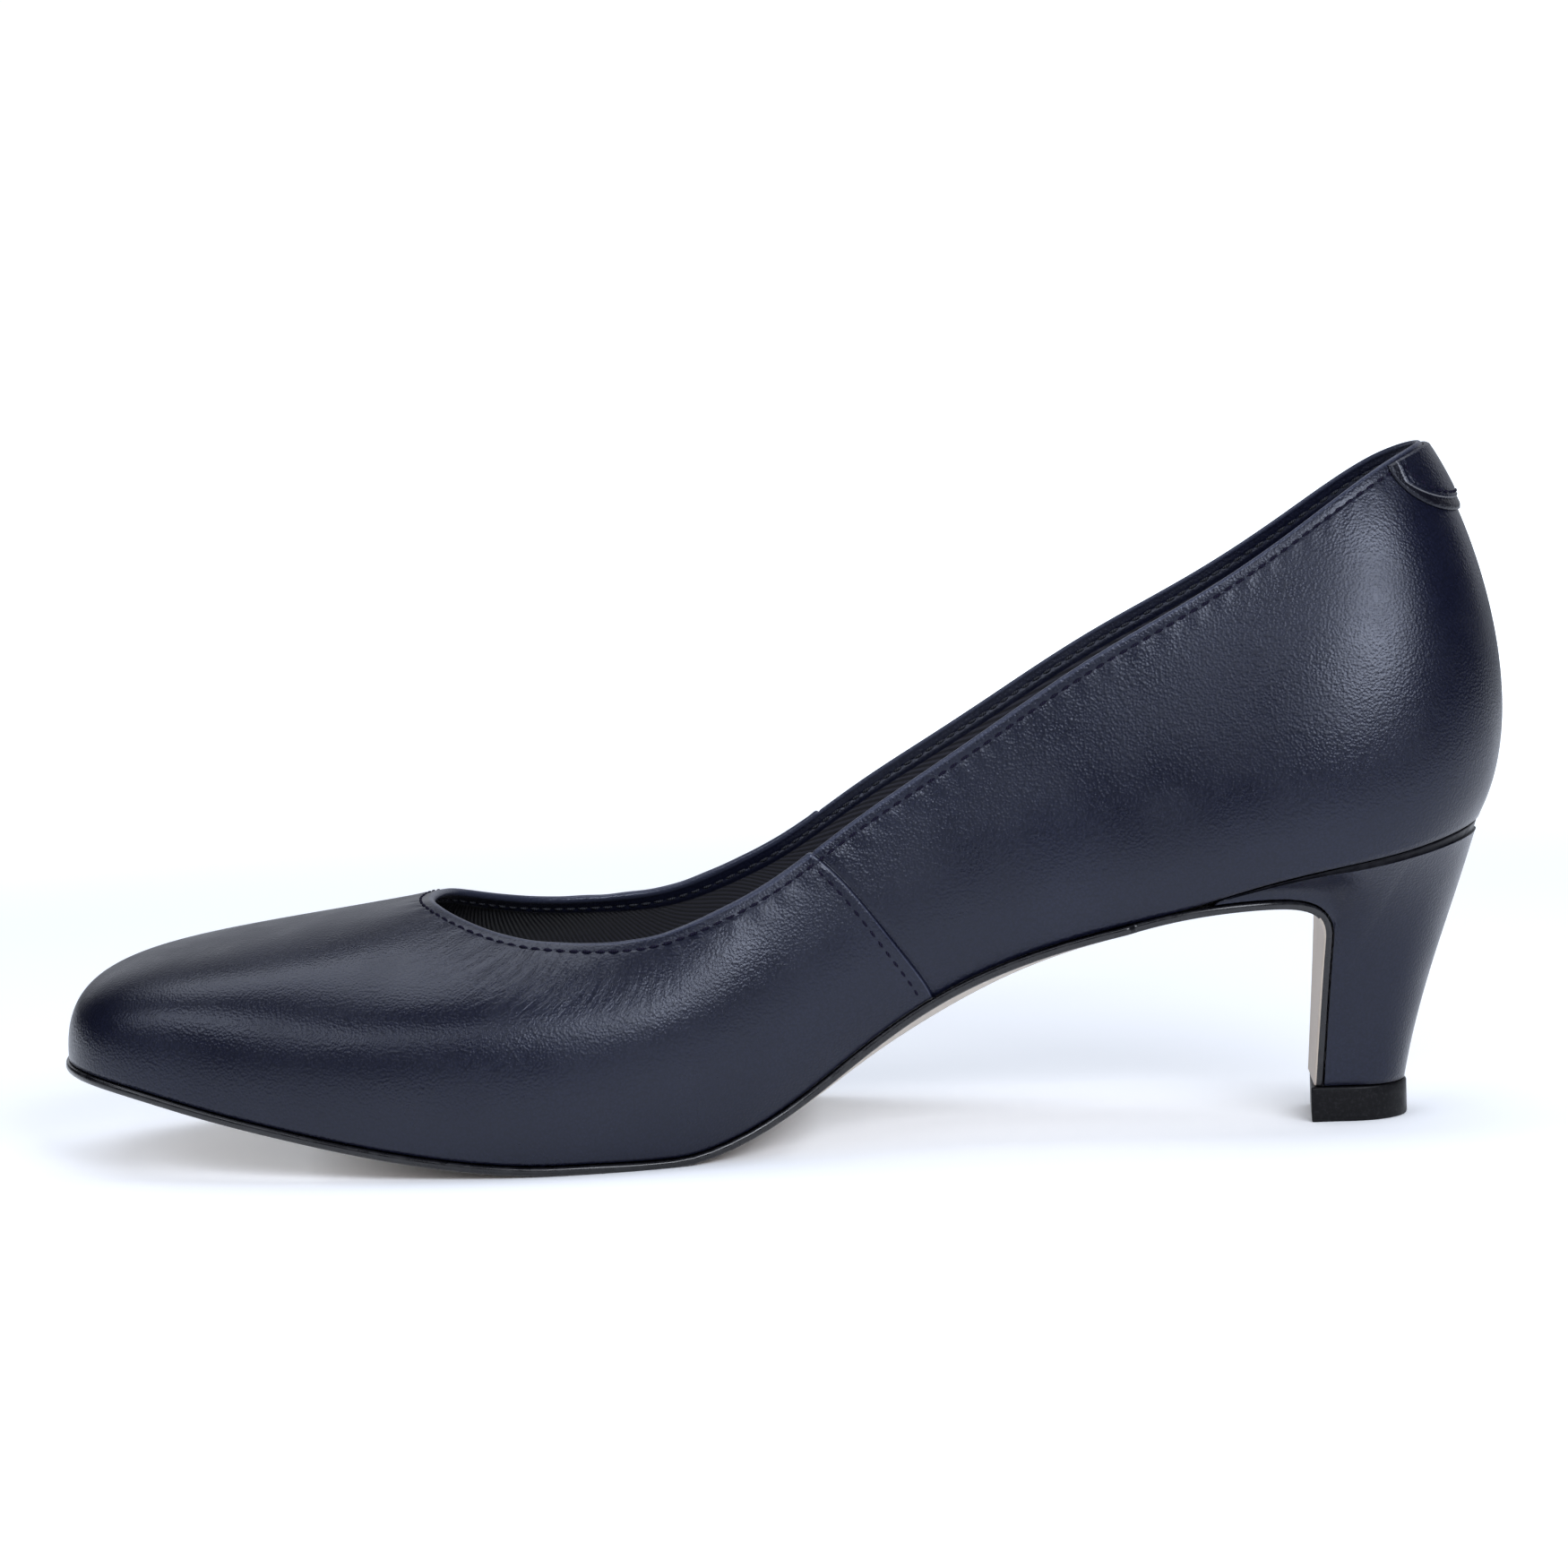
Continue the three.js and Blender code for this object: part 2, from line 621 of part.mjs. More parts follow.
const box = new THREE.Box3().setFromObject(shoe);
const middle = box.getCenter(new THREE.Vector3());
shoe.position.set(-middle.x, -middle.y, 0);

export default shoe;
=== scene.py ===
import math

import bmesh
import bpy
import numpy as np
from mathutils import Matrix, Vector


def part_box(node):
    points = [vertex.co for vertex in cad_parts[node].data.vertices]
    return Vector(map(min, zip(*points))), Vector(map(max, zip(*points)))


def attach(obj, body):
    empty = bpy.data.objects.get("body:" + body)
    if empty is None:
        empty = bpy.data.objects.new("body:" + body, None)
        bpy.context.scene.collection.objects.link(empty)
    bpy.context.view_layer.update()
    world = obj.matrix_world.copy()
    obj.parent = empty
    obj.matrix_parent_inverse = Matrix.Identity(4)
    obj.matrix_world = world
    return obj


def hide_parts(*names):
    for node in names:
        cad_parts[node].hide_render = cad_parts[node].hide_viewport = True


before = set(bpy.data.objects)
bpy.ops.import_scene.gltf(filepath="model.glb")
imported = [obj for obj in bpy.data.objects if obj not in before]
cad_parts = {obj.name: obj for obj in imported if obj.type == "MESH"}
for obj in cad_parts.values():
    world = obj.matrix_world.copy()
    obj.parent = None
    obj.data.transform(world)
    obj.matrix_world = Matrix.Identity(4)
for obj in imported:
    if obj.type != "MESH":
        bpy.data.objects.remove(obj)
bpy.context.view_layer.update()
print("frame loaded")

# The shoe is a right pump with its toe at -X and the inner side of the foot at -Y.
# Shapes are worked out in millimetres from the toe of the last and the heel's centre line.
# toFrame moves them to the frame's place and turns them into metres.

# Last and upper, the same sizes as the solids
last = dict(length=235.2, ballWidth=77, toeSpring=15.9, heelRise=48.3, archLift=11, edgeLift=3.3)
shell = dict(collarHeight=64.6, wall=1.8, step=0.25, restHeight=1.55)
clearance = 0.3

# Wall lines from the toe to the back of the heel. Shares: at and topAt of the last's length, inner,
# outer, topIn and topOut of the ball width, depth of the collar height. flare and lean in degrees
wallColumns = ("at", "inner", "outer", "topAt", "topIn", "topOut", "depth", "flareIn", "flareOut",
               "foot", "lean", "head")
wallLines = np.array([
    [0.0012, 0.065, 0.000, 0.2581, 0.010, 0.000, 0.583, 2, 2, 0.280, 81, 0.720],
    [0.0165, 0.273, 0.143, 0.2649, 0.126, 0.130, 0.582, 3, 3, 0.285, 79, 0.670],
    [0.0660, 0.403, 0.305, 0.2836, 0.214, 0.225, 0.568, 5, 5, 0.290, 73, 0.540],
    [0.1492, 0.475, 0.416, 0.3202, 0.306, 0.325, 0.545, 8, 7, 0.300, 63, 0.440],
    [0.2428, 0.503, 0.478, 0.3661, 0.362, 0.392, 0.535, 11, 8, 0.320, 54, 0.420],
    [0.3321, 0.497, 0.501, 0.4171, 0.384, 0.424, 0.548, 15, 10, 0.335, 39, 0.385],
    [0.4128, 0.445, 0.496, 0.4724, 0.374, 0.420, 0.598, 18, 11, 0.340, 23, 0.360],
    [0.4936, 0.351, 0.449, 0.5319, 0.340, 0.385, 0.618, 24, 12, 0.330, 11, 0.340],
    [0.5744, 0.288, 0.384, 0.5957, 0.310, 0.345, 0.625, 28, 14, 0.320, 5, 0.330],
    [0.6594, 0.270, 0.335, 0.6616, 0.286, 0.312, 0.651, 28, 16, 0.310, 3, 0.330],
    [0.7445, 0.288, 0.314, 0.7317, 0.265, 0.284, 0.718, 26, 18, 0.300, 5, 0.330],
    [0.8295, 0.317, 0.322, 0.8040, 0.245, 0.258, 0.790, 25, 22, 0.300, 10, 0.310],
    [0.9060, 0.319, 0.319, 0.8720, 0.219, 0.228, 0.885, 26, 25, 0.310, 19, 0.270],
    [0.9715, 0.218, 0.218, 0.9328, 0.156, 0.160, 0.981, 28, 28, 0.330, 30, 0.215],
    [0.9996, 0.000, 0.000, 0.9642, 0.000, 0.000, 0.998, 29, 29, 0.345, 36, 0.205],
])
# Bottom of the last at even steps: shares of the toe spring, heel rise, arch lift and edge lift
bottomRows = np.array([
    [1.000, 0.000, 0.00, 0.50], [0.811, 0.000, 0.00, 0.45], [0.585, 0.000, 0.00, 0.40],
    [0.390, 0.000, 0.00, 0.30], [0.208, 0.000, 0.00, 0.25], [0.070, 0.000, 0.00, 0.20],
    [0.004, 0.000, 0.00, 0.10], [0.000, 0.000, 0.00, 0.05], [0.000, 0.004, 0.02, 0.05],
    [0.000, 0.075, 0.36, 0.10], [0.000, 0.244, 0.70, 0.15], [0.000, 0.406, 1.00, 0.25],
    [0.000, 0.542, 0.75, 0.40], [0.000, 0.641, 0.38, 0.60], [0.000, 0.718, 0.12, 0.75],
    [0.000, 0.788, 0.12, 0.90], [0.000, 0.854, 0.03, 1.00], [0.000, 0.915, 0.00, 0.90],
    [0.000, 1.000, 0.00, 0.75],
])
seams = dict(foot=8.43, head=7, reach=3.5, curve=1.35)  # places counted in wall lines
heelLine = len(wallLines) - 1
loopRows = 2 * heelLine
halfBall = last["ballWidth"] / 2


# Smooth step: 3 t^2 - 2 t^3 between 0 and 1
def smoothStep(t):
    t = np.clip(t, 0, 1)
    return t * t * (3 - 2 * t)


# Straight mix: a times (1 - share) + b times share
def blend(a, b, share):
    return a * (1 - share) + b * share


# Points from their coordinates
def joined(*coordinates):
    return np.stack(coordinates, axis=-1)


# Directions of length 1: each vector over its own length
def unit(vectors):
    return vectors / np.linalg.norm(vectors, axis=-1, keepdims=True)


# Bell curve: e to the minus square of the distance from its middle over its width
def bell(x, middle, width):
    return np.exp(-((x - middle) / width) ** 2)


# Rows with one more before and two more after: wrapped where closed, else carried on straight
def widened(rows, closed):
    if closed:
        return rows[np.arange(-1, len(rows) + 2) % len(rows)]
    return np.vstack([2 * rows[:1] - rows[1:2], rows, 2 * rows[-1:] - rows[-2:-1],
                      3 * rows[-1:] - 2 * rows[-2:-1]])


# Control rows of a uniform cubic spline through the rows: c = (6 p - c before - c after) / 4
def controlRows(rows, closed):
    control = rows.astype(float)
    for _ in range(40):
        wide = widened(control, closed)
        control = (6 * rows - wide[:-3] - wide[2:-1]) / 4
    return control


# Spline value at t, in rows: four neighbouring control rows weighted by the cubic basis
def splineAt(control, closed, t):
    t = np.asarray(t, float)
    i = np.floor(t).astype(int)
    f = (t - i)[..., None]
    g = 1 - f
    weights = (g ** 3, 3 * f ** 3 - 6 * f ** 2 + 4, 3 * g ** 3 - 6 * g ** 2 + 4, f ** 3)
    wide = widened(control, closed)
    return sum(w * wide[i % len(control) + n] for n, w in enumerate(weights)) / 6


bottomControl = controlRows(bottomRows, False)
column = dict(zip(wallColumns, wallLines.T))


# Rows of one side's wall lines: the two widths are turned to its side of the centre line
def halfLoop(side, width, topWidth, flare):
    return joined(column["at"], side * column[width], column["topAt"], side * column[topWidth],
                  column["depth"], column[flare], column["foot"], column["lean"], column["head"])


innerHalf = halfLoop(-1, "inner", "topIn", "flareIn")
outerHalf = halfLoop(1, "outer", "topOut", "flareOut")
loopControl = controlRows(np.vstack([innerHalf, outerHalf[-2:0:-1]]), True)


# Lift of the last's bottom beside the centre line: (arch + cup) times (y / half ball) squared
def sideLift(x, y):
    t = np.clip(x / last["length"], 0, 1) * (len(bottomRows) - 1)
    arch, cup = np.moveaxis(splineAt(bottomControl, False, t)[..., 2:], -1, 0)
    rise = last["edgeLift"] * cup + np.where(y < 0, last["archLift"] * np.maximum(arch, 0), 0)
    return rise * (y / halfBall) ** 2


# Height of the last's bottom: rest + spring + rise + side lift
def bottomHeight(x, y):
    t = np.clip(x / last["length"], 0, 1) * (len(bottomRows) - 1)
    spring, rise = np.moveaxis(splineAt(bottomControl, False, t)[..., :2], -1, 0)
    return (shell["restHeight"] + last["toeSpring"] * spring + last["heelRise"] * rise
            + sideLift(x, y))


# Values of a wall line at u: feather edge and topline in plan, depth, flare, lean and arms
def lineAt(u):
    row = splineAt(loopControl, True, u)
    return dict(
        feather=row[..., 0:2] * (last["length"], last["ballWidth"]),
        topline=row[..., 2:4] * (last["length"], last["ballWidth"]),
        depth=row[..., 4] * shell["collarHeight"],
        flare=np.radians(row[..., 5]), foot=row[..., 6],
        lean=np.radians(row[..., 7]), head=row[..., 8])


# Outward direction in plan: the loop's run between two near places, turned by a right angle
def outward(u, loop):
    run = unit(lineAt(u + 0.05)[loop] - lineAt(u - 0.05)[loop])
    return joined(run[..., 1], -run[..., 0])


# Direction leaning by an angle from the vertical towards a direction in plan
def leaning(plan, angle, up):
    side = plan * np.sin(angle)[..., None]
    return np.concatenate([side, (up * np.cos(angle))[..., None]], axis=-1)


# Control points of a wall line: foot and head of a cubic curve, with arms at flare and lean
def wallControl(u):
    line = lineAt(u)
    fx, fy = np.moveaxis(line["feather"], -1, 0)
    start = joined(fx, fy, bottomHeight(fx, fy))
    tx, ty = np.moveaxis(line["topline"], -1, 0)
    end = joined(tx, ty, bottomHeight(tx, 0 * ty) + line["depth"])
    span = np.linalg.norm(end - start, axis=-1)
    footArm = leaning(outward(u, "feather"), line["flare"], 1) * (line["foot"] * span)[..., None]
    headArm = leaning(outward(u, "topline"), line["lean"], -1) * (line["head"] * span)[..., None]
    return start, start + footArm, end + headArm, end


# Point of a cubic curve: its four control points weighted by the Bernstein terms of v
def cubicPoint(control, v):
    v = np.asarray(v)[..., None]
    w = 1 - v
    a, b, c, d = control
    return w ** 3 * a + 3 * w * w * v * b + 3 * w * v * v * c + v ** 3 * d


# Outside of the wall at u around and v up, and its normal from small steps both ways
def wallSurface(u, v):
    u = np.asarray(u, float)
    v = np.asarray(v, float)
    near = np.clip(v, 0.01, 0.99)
    point = cubicPoint(wallControl(u), v)
    across = cubicPoint(wallControl(u + 0.02), near) - cubicPoint(wallControl(u - 0.02), near)
    here = wallControl(u)
    up = cubicPoint(here, near + 0.01) - cubicPoint(here, near - 0.01)
    return point, unit(np.cross(across, up))


# Point on the last's bottom, moved outwards in plan from the feather edge by an offset
def bottomPoint(u, offset):
    plan = lineAt(u)["feather"] + outward(u, "feather") * np.asarray(offset)[..., None]
    x, y = np.moveaxis(plan, -1, 0)
    return joined(x, y, bottomHeight(x, y))


# Speed of a wall line at its head in mm for each unit of v: 3 times its last arm
def headSpeed(u):
    control = wallControl(u)
    return 3 * np.linalg.norm(control[3] - control[2], axis=-1)


# Columns bend so that one follows each side seam: s plus the seam's slide, faded out beside it
def bentColumn(s, v):
    slide = (seams["foot"] - seams["head"]) * (1 - np.clip(v, 0, 1) ** seams["curve"])
    near = lambda seam: 1 - smoothStep(np.abs(s - seam) / seams["reach"])
    return s + slide * (near(seams["head"]) - near(loopRows - seams["head"]))


# Millimetres along a line of points from its first one: running sum of the steps' lengths
def runLength(points, axis=0):
    steps = np.linalg.norm(np.diff(points, axis=axis), axis=-1)
    zero = np.zeros_like(np.take(steps, [0], axis=axis))
    return np.concatenate([zero, np.cumsum(steps, axis=axis)], axis=axis)


# Points at lengths along a line: each coordinate is read between the nearest two points
def pointsAt(at, run, points):
    return joined(*(np.interp(at, run, values) for values in points.T))


# Sole's route beyond the waist: a cubic bend off the last's bottom, then straight to the lift
sole = dict(thickness=1.4, edge=0.7, waistRow=10, waistArm=18, bendArm=11.5, breastDrop=2.7,
            breastLean=4.3, taper=np.array([1, 1.03, 1.03, 0.92, 0.62, 0.34, 0.18, 0.08, 0.0]))
lift = dict(height=5.8, length=15.8, width=17.6, corner=7, setback=13.2, step=0.3)
lastEnd = float(lineAt(np.array(float(heelLine)))["feather"][0])
liftBack = lastEnd - lift["setback"]
liftFront = liftBack - lift["length"]
liftTop = lift["height"] + clearance
waistX = float(lineAt(np.array(float(sole["waistRow"])))["feather"][0])

# The solids' place: the lift's box in the frame tells how far the shoe was moved
liftLow, liftHigh = (np.array(corner) * 1000 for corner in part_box("top_lift"))
frameShift = np.array([liftLow[0] - liftFront, (liftLow[1] + liftHigh[1]) / 2, 0])


# Millimetres of the last's own axes to metres of the frame: add the shift, divide by 1000
def toFrame(points):
    return (points + frameShift) / 1000


# Sole's route in x and height: a cubic bend from the waist, along the bottom's slope, to the top of
# the breast, along its lean, and then a straight line down to the lift
def soleRouteLine():
    height = lambda x: float(bottomHeight(np.array(x), np.array(0.0))) - clearance
    start = np.array([waistX, height(waistX)])
    ahead = np.array([0.5, height(waistX + 0.5) - height(waistX)])
    ahead *= sole["waistArm"] / np.linalg.norm(ahead)
    foot = np.array([liftFront + sole["thickness"], liftTop])
    bendHeight = start[1] - sole["breastDrop"]
    lean = math.tan(math.radians(sole["breastLean"]))
    bend = np.array([foot[0] + lean * (bendHeight - foot[1]), bendHeight])
    up = (bend - foot) / np.linalg.norm(bend - foot) * sole["bendArm"]
    curve = cubicPoint((start, start + ahead, bend + up, bend), np.linspace(0, 1, 120))
    straight = bend + (foot - bend) * np.linspace(0, 1, 60)[1:, None]
    return np.vstack([curve, straight])


routeLine = soleRouteLine()
routeRun = runLength(routeLine)
routeLength = float(routeRun[-1])
soleEnd = waistX + routeLength


# Top of the outsole at p along it and y across: the last's bottom up to the waist's end, then
# the route with the side lift faded out. Also the direction to the tread side
def soleTop(p, y):
    p, y = np.broadcast_arrays(np.asarray(p, float), np.asarray(y, float))
    slope = bottomHeight(p + 0.5, 0 * y) - bottomHeight(p - 0.5, 0 * y)
    flat = joined(p, y, bottomHeight(p, y) - clearance)
    flatDown = unit(joined(slope, 0 * y, -np.ones_like(y)))
    place = lambda length: pointsAt(np.clip(length, 0, routeLength), routeRun, routeLine)
    d = np.clip(p - waistX, 0, routeLength)
    x, z = np.moveaxis(place(d), -1, 0)
    runX, runZ = np.moveaxis(unit(place(d + 0.3) - place(d - 0.3)), -1, 0)
    fade = 1 - smoothStep(2 * d / routeLength)
    bent = joined(x, y, z + sideLift(np.full_like(y, waistX), y) * fade)
    bentDown = joined(runZ, 0 * y, -runX)
    isFlat = (p <= waistX)[..., None]
    return np.where(isFlat, flat, bent), np.where(isFlat, flatDown, bentDown)


taperControl = controlRows(sole["taper"][:, None], False)


# Half width of the sole beyond the waist: the lift's half width times (1 - share) plus the
# waist's half width times the share, which tapers along the route
def flapSide(p, side):
    u = np.array(float(sole["waistRow"] if side < 0 else loopRows - sole["waistRow"]))
    waist = bottomPoint(u, sole["edge"])[1]
    t = np.clip((p - waistX) / routeLength, 0, 1) * (len(sole["taper"]) - 1)
    share = splineAt(taperControl, False, t)[..., 0]
    return blend(side * lift["width"] / 2, waist, share)


print("last and sole worked out")


# Object of some data, at the origin and unturned, linked into the scene
def newObject(name, data):
    made = bpy.data.objects.new(name, data)
    bpy.context.collection.objects.link(made)
    return made


# Mesh from a grid of points: each face joins places (i, j), (i + 1, j), (i + 1, j + 1), (i, j + 1).
# A closed grid joins its last line to its first. Corners that share a place are merged, and the
# faces are turned outwards
def gridPiece(name, grid, closedLines=True, closedAcross=True, uv=None, fields=None, slots=None):
    lines, across = grid.shape[:2]
    lineEnd = lines if closedLines else lines - 1
    acrossEnd = across if closedAcross else across - 1
    i, j = np.meshgrid(np.arange(lineEnd), np.arange(acrossEnd), indexing="ij")
    i = i.ravel()
    j = j.ravel()
    n = (i + 1) % lines
    m = (j + 1) % across
    faces = joined(i * across + j, n * across + j, n * across + m, i * across + m)
    mesh = bpy.data.meshes.new(name)
    mesh.from_pydata(toFrame(grid.reshape(-1, 3)), [], faces.tolist())
    if uv is not None:
        layer = mesh.uv_layers.new(name="run")
        corners = np.stack([uv[:, i, j], uv[:, i + 1, j], uv[:, i + 1, j + 1], uv[:, i, j + 1]])
        layer.data.foreach_set("uv", corners.transpose(2, 0, 1).ravel())
    for key, values in (fields or {}).items():
        field = mesh.attributes.new(key, "FLOAT", "POINT")
        field.data.foreach_set("value", values.ravel().astype(np.float32))
    if slots is not None:
        mesh.polygons.foreach_set("material_index", slots[i, j].astype(np.int32))
    mesh.polygons.foreach_set("use_smooth", np.ones(len(mesh.polygons), bool))
    work = bmesh.new()
    work.from_mesh(mesh)
    bmesh.ops.remove_doubles(work, verts=work.verts, dist=1e-7)
    bmesh.ops.dissolve_degenerate(work, edges=work.edges, dist=1e-8)
    bmesh.ops.recalc_face_normals(work, faces=work.faces)
    work.to_mesh(mesh)
    work.free()
    return newObject(name, mesh)


# Thread of the stitches: its length as a share of the pitch, then its radius, the bow of its middle
# and the sink of its ends in mm, and its sides and swelling from end to end
threadLook = dict(share=0.74, radius=0.24, bow=0.12, sink=0.06, sides=6,
                  swell=(0.35, 0.9, 1.0, 0.9, 0.35))


# Joined copies of one small thread: each copy is a tapered tube from its start to its end that
# rises along the normal by its bow times the sine of the way along it, less its sink
def threadRow(name, starts, ends, normals):
    look = threadLook
    sides = look["sides"]
    rings = len(look["swell"])
    run = ends - starts
    side = unit(np.cross(run, normals))
    up = unit(np.cross(side, run))
    t = np.linspace(0, 1, rings)
    rise = (look["bow"] * np.sin(math.pi * t) - look["sink"])[None, :, None]
    spine = starts[:, None] + run[:, None] * t[None, :, None] + normals[:, None] * rise
    angle = np.linspace(0, 2 * math.pi, sides, endpoint=False)
    ring = (side[:, None, None] * np.cos(angle)[None, None, :, None]
            + up[:, None, None] * np.sin(angle)[None, None, :, None])
    points = spine[:, :, None] + ring * (look["radius"] * np.array(look["swell"]))[None, :, None, None]
    first = np.arange(len(starts))[:, None] * rings * sides
    base = first[..., None]
    r = np.arange(rings - 1)[None, :, None] * sides
    a = np.arange(sides)[None, None, :]
    b = (a + 1) % sides
    quads = joined(base + r + a, base + r + b, base + r + sides + b, base + r + sides + a)
    caps = np.vstack([first + np.arange(sides)[::-1], first + (rings - 1) * sides + np.arange(sides)])
    mesh = bpy.data.meshes.new(name)
    mesh.from_pydata(toFrame(points.reshape(-1, 3)), [], quads.reshape(-1, 4).tolist() + caps.tolist())
    mesh.polygons.foreach_set("use_smooth", np.ones(len(mesh.polygons), bool))
    return newObject(name, mesh)


# Stitches along a line: its running length, less the trim at each end, is cut into whole steps
# near the pitch, and each thread spans its share of a step
def stitchLine(name, line, normals, pitch, trim=0.0):
    run = runLength(line)
    at = np.linspace(trim, run[-1] - trim, int((run[-1] - 2 * trim) / pitch) + 1)
    places = pointsAt(at, run, line)
    normalAt = pointsAt(at, run, normals)
    gap = np.diff(places, axis=0) * (1 - threadLook["share"]) / 2
    return threadRow(name, places[:-1] + gap, places[1:] - gap, unit(normalAt[:-1] + normalAt[1:]))


# Upper: one closed wall. Its rows run up the outside, over the folded edge and down the inside
upperLook = dict(
    columnsPerRow=18,        # columns between two wall lines
    seamColumns=(-0.9, -0.5, -0.3, -0.2, -0.1, 0.0, 0.1, 0.2, 0.3, 0.5, 0.9),  # mm beside a seam
    bandRows=(0, 0.15, 0.35, 0.6, 0.9, 1.2, 1.42, 1.56, 1.7, 1.84, 2.0, 2.2, 2.6, 3.2, 4.0),
    rowsBelow=58,
    rowsInside=40,
    seamPitch=17.0,          # mm between wall lines near the seams
    seamRidges=((0.12, 0.55, 0.35), (-0.10, 1.5, 0.30), (-0.22, -0.25, 0.22)),  # height, mm, width
    seamInset=1.5,           # mm from the vamp's cut edge to its stitches
    stitchDepth=1.70,        # mm from the edge to the stitch row
    stitchPitch=2.2,
    stitchSink=0.05,
    grooveDepth=0.09,
    grooveWidth=0.28,
    foldBulge=0.03,          # how far the folded edge stands proud above the stitches
    foldPlace=(0.62, 0.42),  # places are a middle and a width
    puckerHeight=0.05,
    puckerPlace=(2.1, 0.8),
    pullPlace=(2.9, 1.3),
    rimAngles=(22, 45, 68, 90, 112, 135, 158),  # steps of the half turn over the edge, in degrees
    facingDepth=2.7,         # mm of leather facing inside the edge
    facingGroove=0.14,
    facingStep=0.25,
    edgeShare=0.6,           # share of the wall's thickness left at its edge
    edgeTaper=3.5,           # mm over which the wall thins towards its edge
    creaseHeight=0.05,
    folds=((-0.28, 4.4, 1.1, 9, 5), (0.20, 3.4, 0.7, 10, 5)),  # height, wall line, width, depth, reach
    flexPlace=((3.9, 1.3), (8, 7)),  # hairline creases: wall line and width, depth and reach
)


# Signed distance to a side seam in mm, positive on the vamp: places along the loop times the
# width between wall lines
def seamDistance(s):
    places = np.where(s < loopRows / 2, seams["head"] - s, s - (loopRows - seams["head"]))
    return places * upperLook["seamPitch"]


# Step between the panels: half of it up on the vamp and half down on the quarter
def panelStep(seamMm):
    return shell["step"] * (2 * smoothStep(seamMm / 0.35 + 0.5) - 1)


# Columns of the upper: even ones, with a bunch of close ones beside each seam
def upperColumns():
    even = np.linspace(0, loopRows, loopRows * upperLook["columnsPerRow"], endpoint=False)
    extra = np.array(upperLook["seamColumns"]) / upperLook["seamPitch"]
    near = [seam + extra for seam in (seams["head"], loopRows - seams["head"])]
    keep = np.ones(len(even), bool)
    for bunch in near:
        keep &= (even < bunch[0] - 0.01) | (even > bunch[-1] + 0.01)
    return np.sort(np.concatenate([even[keep], *near]))


# Height of the outside above the last's wall: the panels' step, plus bells across the seam and
# below the edge, small puckers between stitches, and soft folds and creases at the vamp's flex
def upperRelief(s, depth, along, seamMm):
    look = upperLook
    across = sum(height * bell(seamMm, *place) for height, *place in look["seamRidges"])
    groove = -look["grooveDepth"] * bell(depth, look["stitchDepth"], look["grooveWidth"])
    bulge = look["foldBulge"] * bell(depth, *look["foldPlace"])
    wave = np.cos(2 * math.pi * along / look["stitchPitch"])
    pull = np.sin(along / 0.75 + 1.8 * np.sin(along / 9.5)) * bell(depth, *look["pullPlace"])
    pucker = look["puckerHeight"] * (wave * bell(depth, *look["puckerPlace"]) + 1.5 * pull)
    side = np.minimum(s, loopRows - s)
    lines = np.sin(along / 1.9 + 0.6 * np.sin(along / 6.1)) + 0.7 * np.sin(along / 1.15 + 1.3)
    crease = look["creaseHeight"] * bell(side, 4.6, 1.35) * lines * np.exp(-(depth / 11) ** 1.5)
    folds = sum(height * bell(side, at, width) * bell(depth, low, reach)
                for height, at, width, low, reach in look["folds"])
    return panelStep(seamMm) + across + groove + bulge + pucker + crease + folds


# Offset of the inside from the last's wall: minus the wall, which thins towards its edge, plus
# the step down from the leather facing to the lining
def insideOffset(depth):
    look = upperLook
    share = blend(look["edgeShare"], 1, smoothStep(depth / look["edgeTaper"]))
    beyond = smoothStep((depth - look["facingDepth"]) / 0.25 + 0.5)
    return look["facingStep"] * beyond - shell["wall"] * share


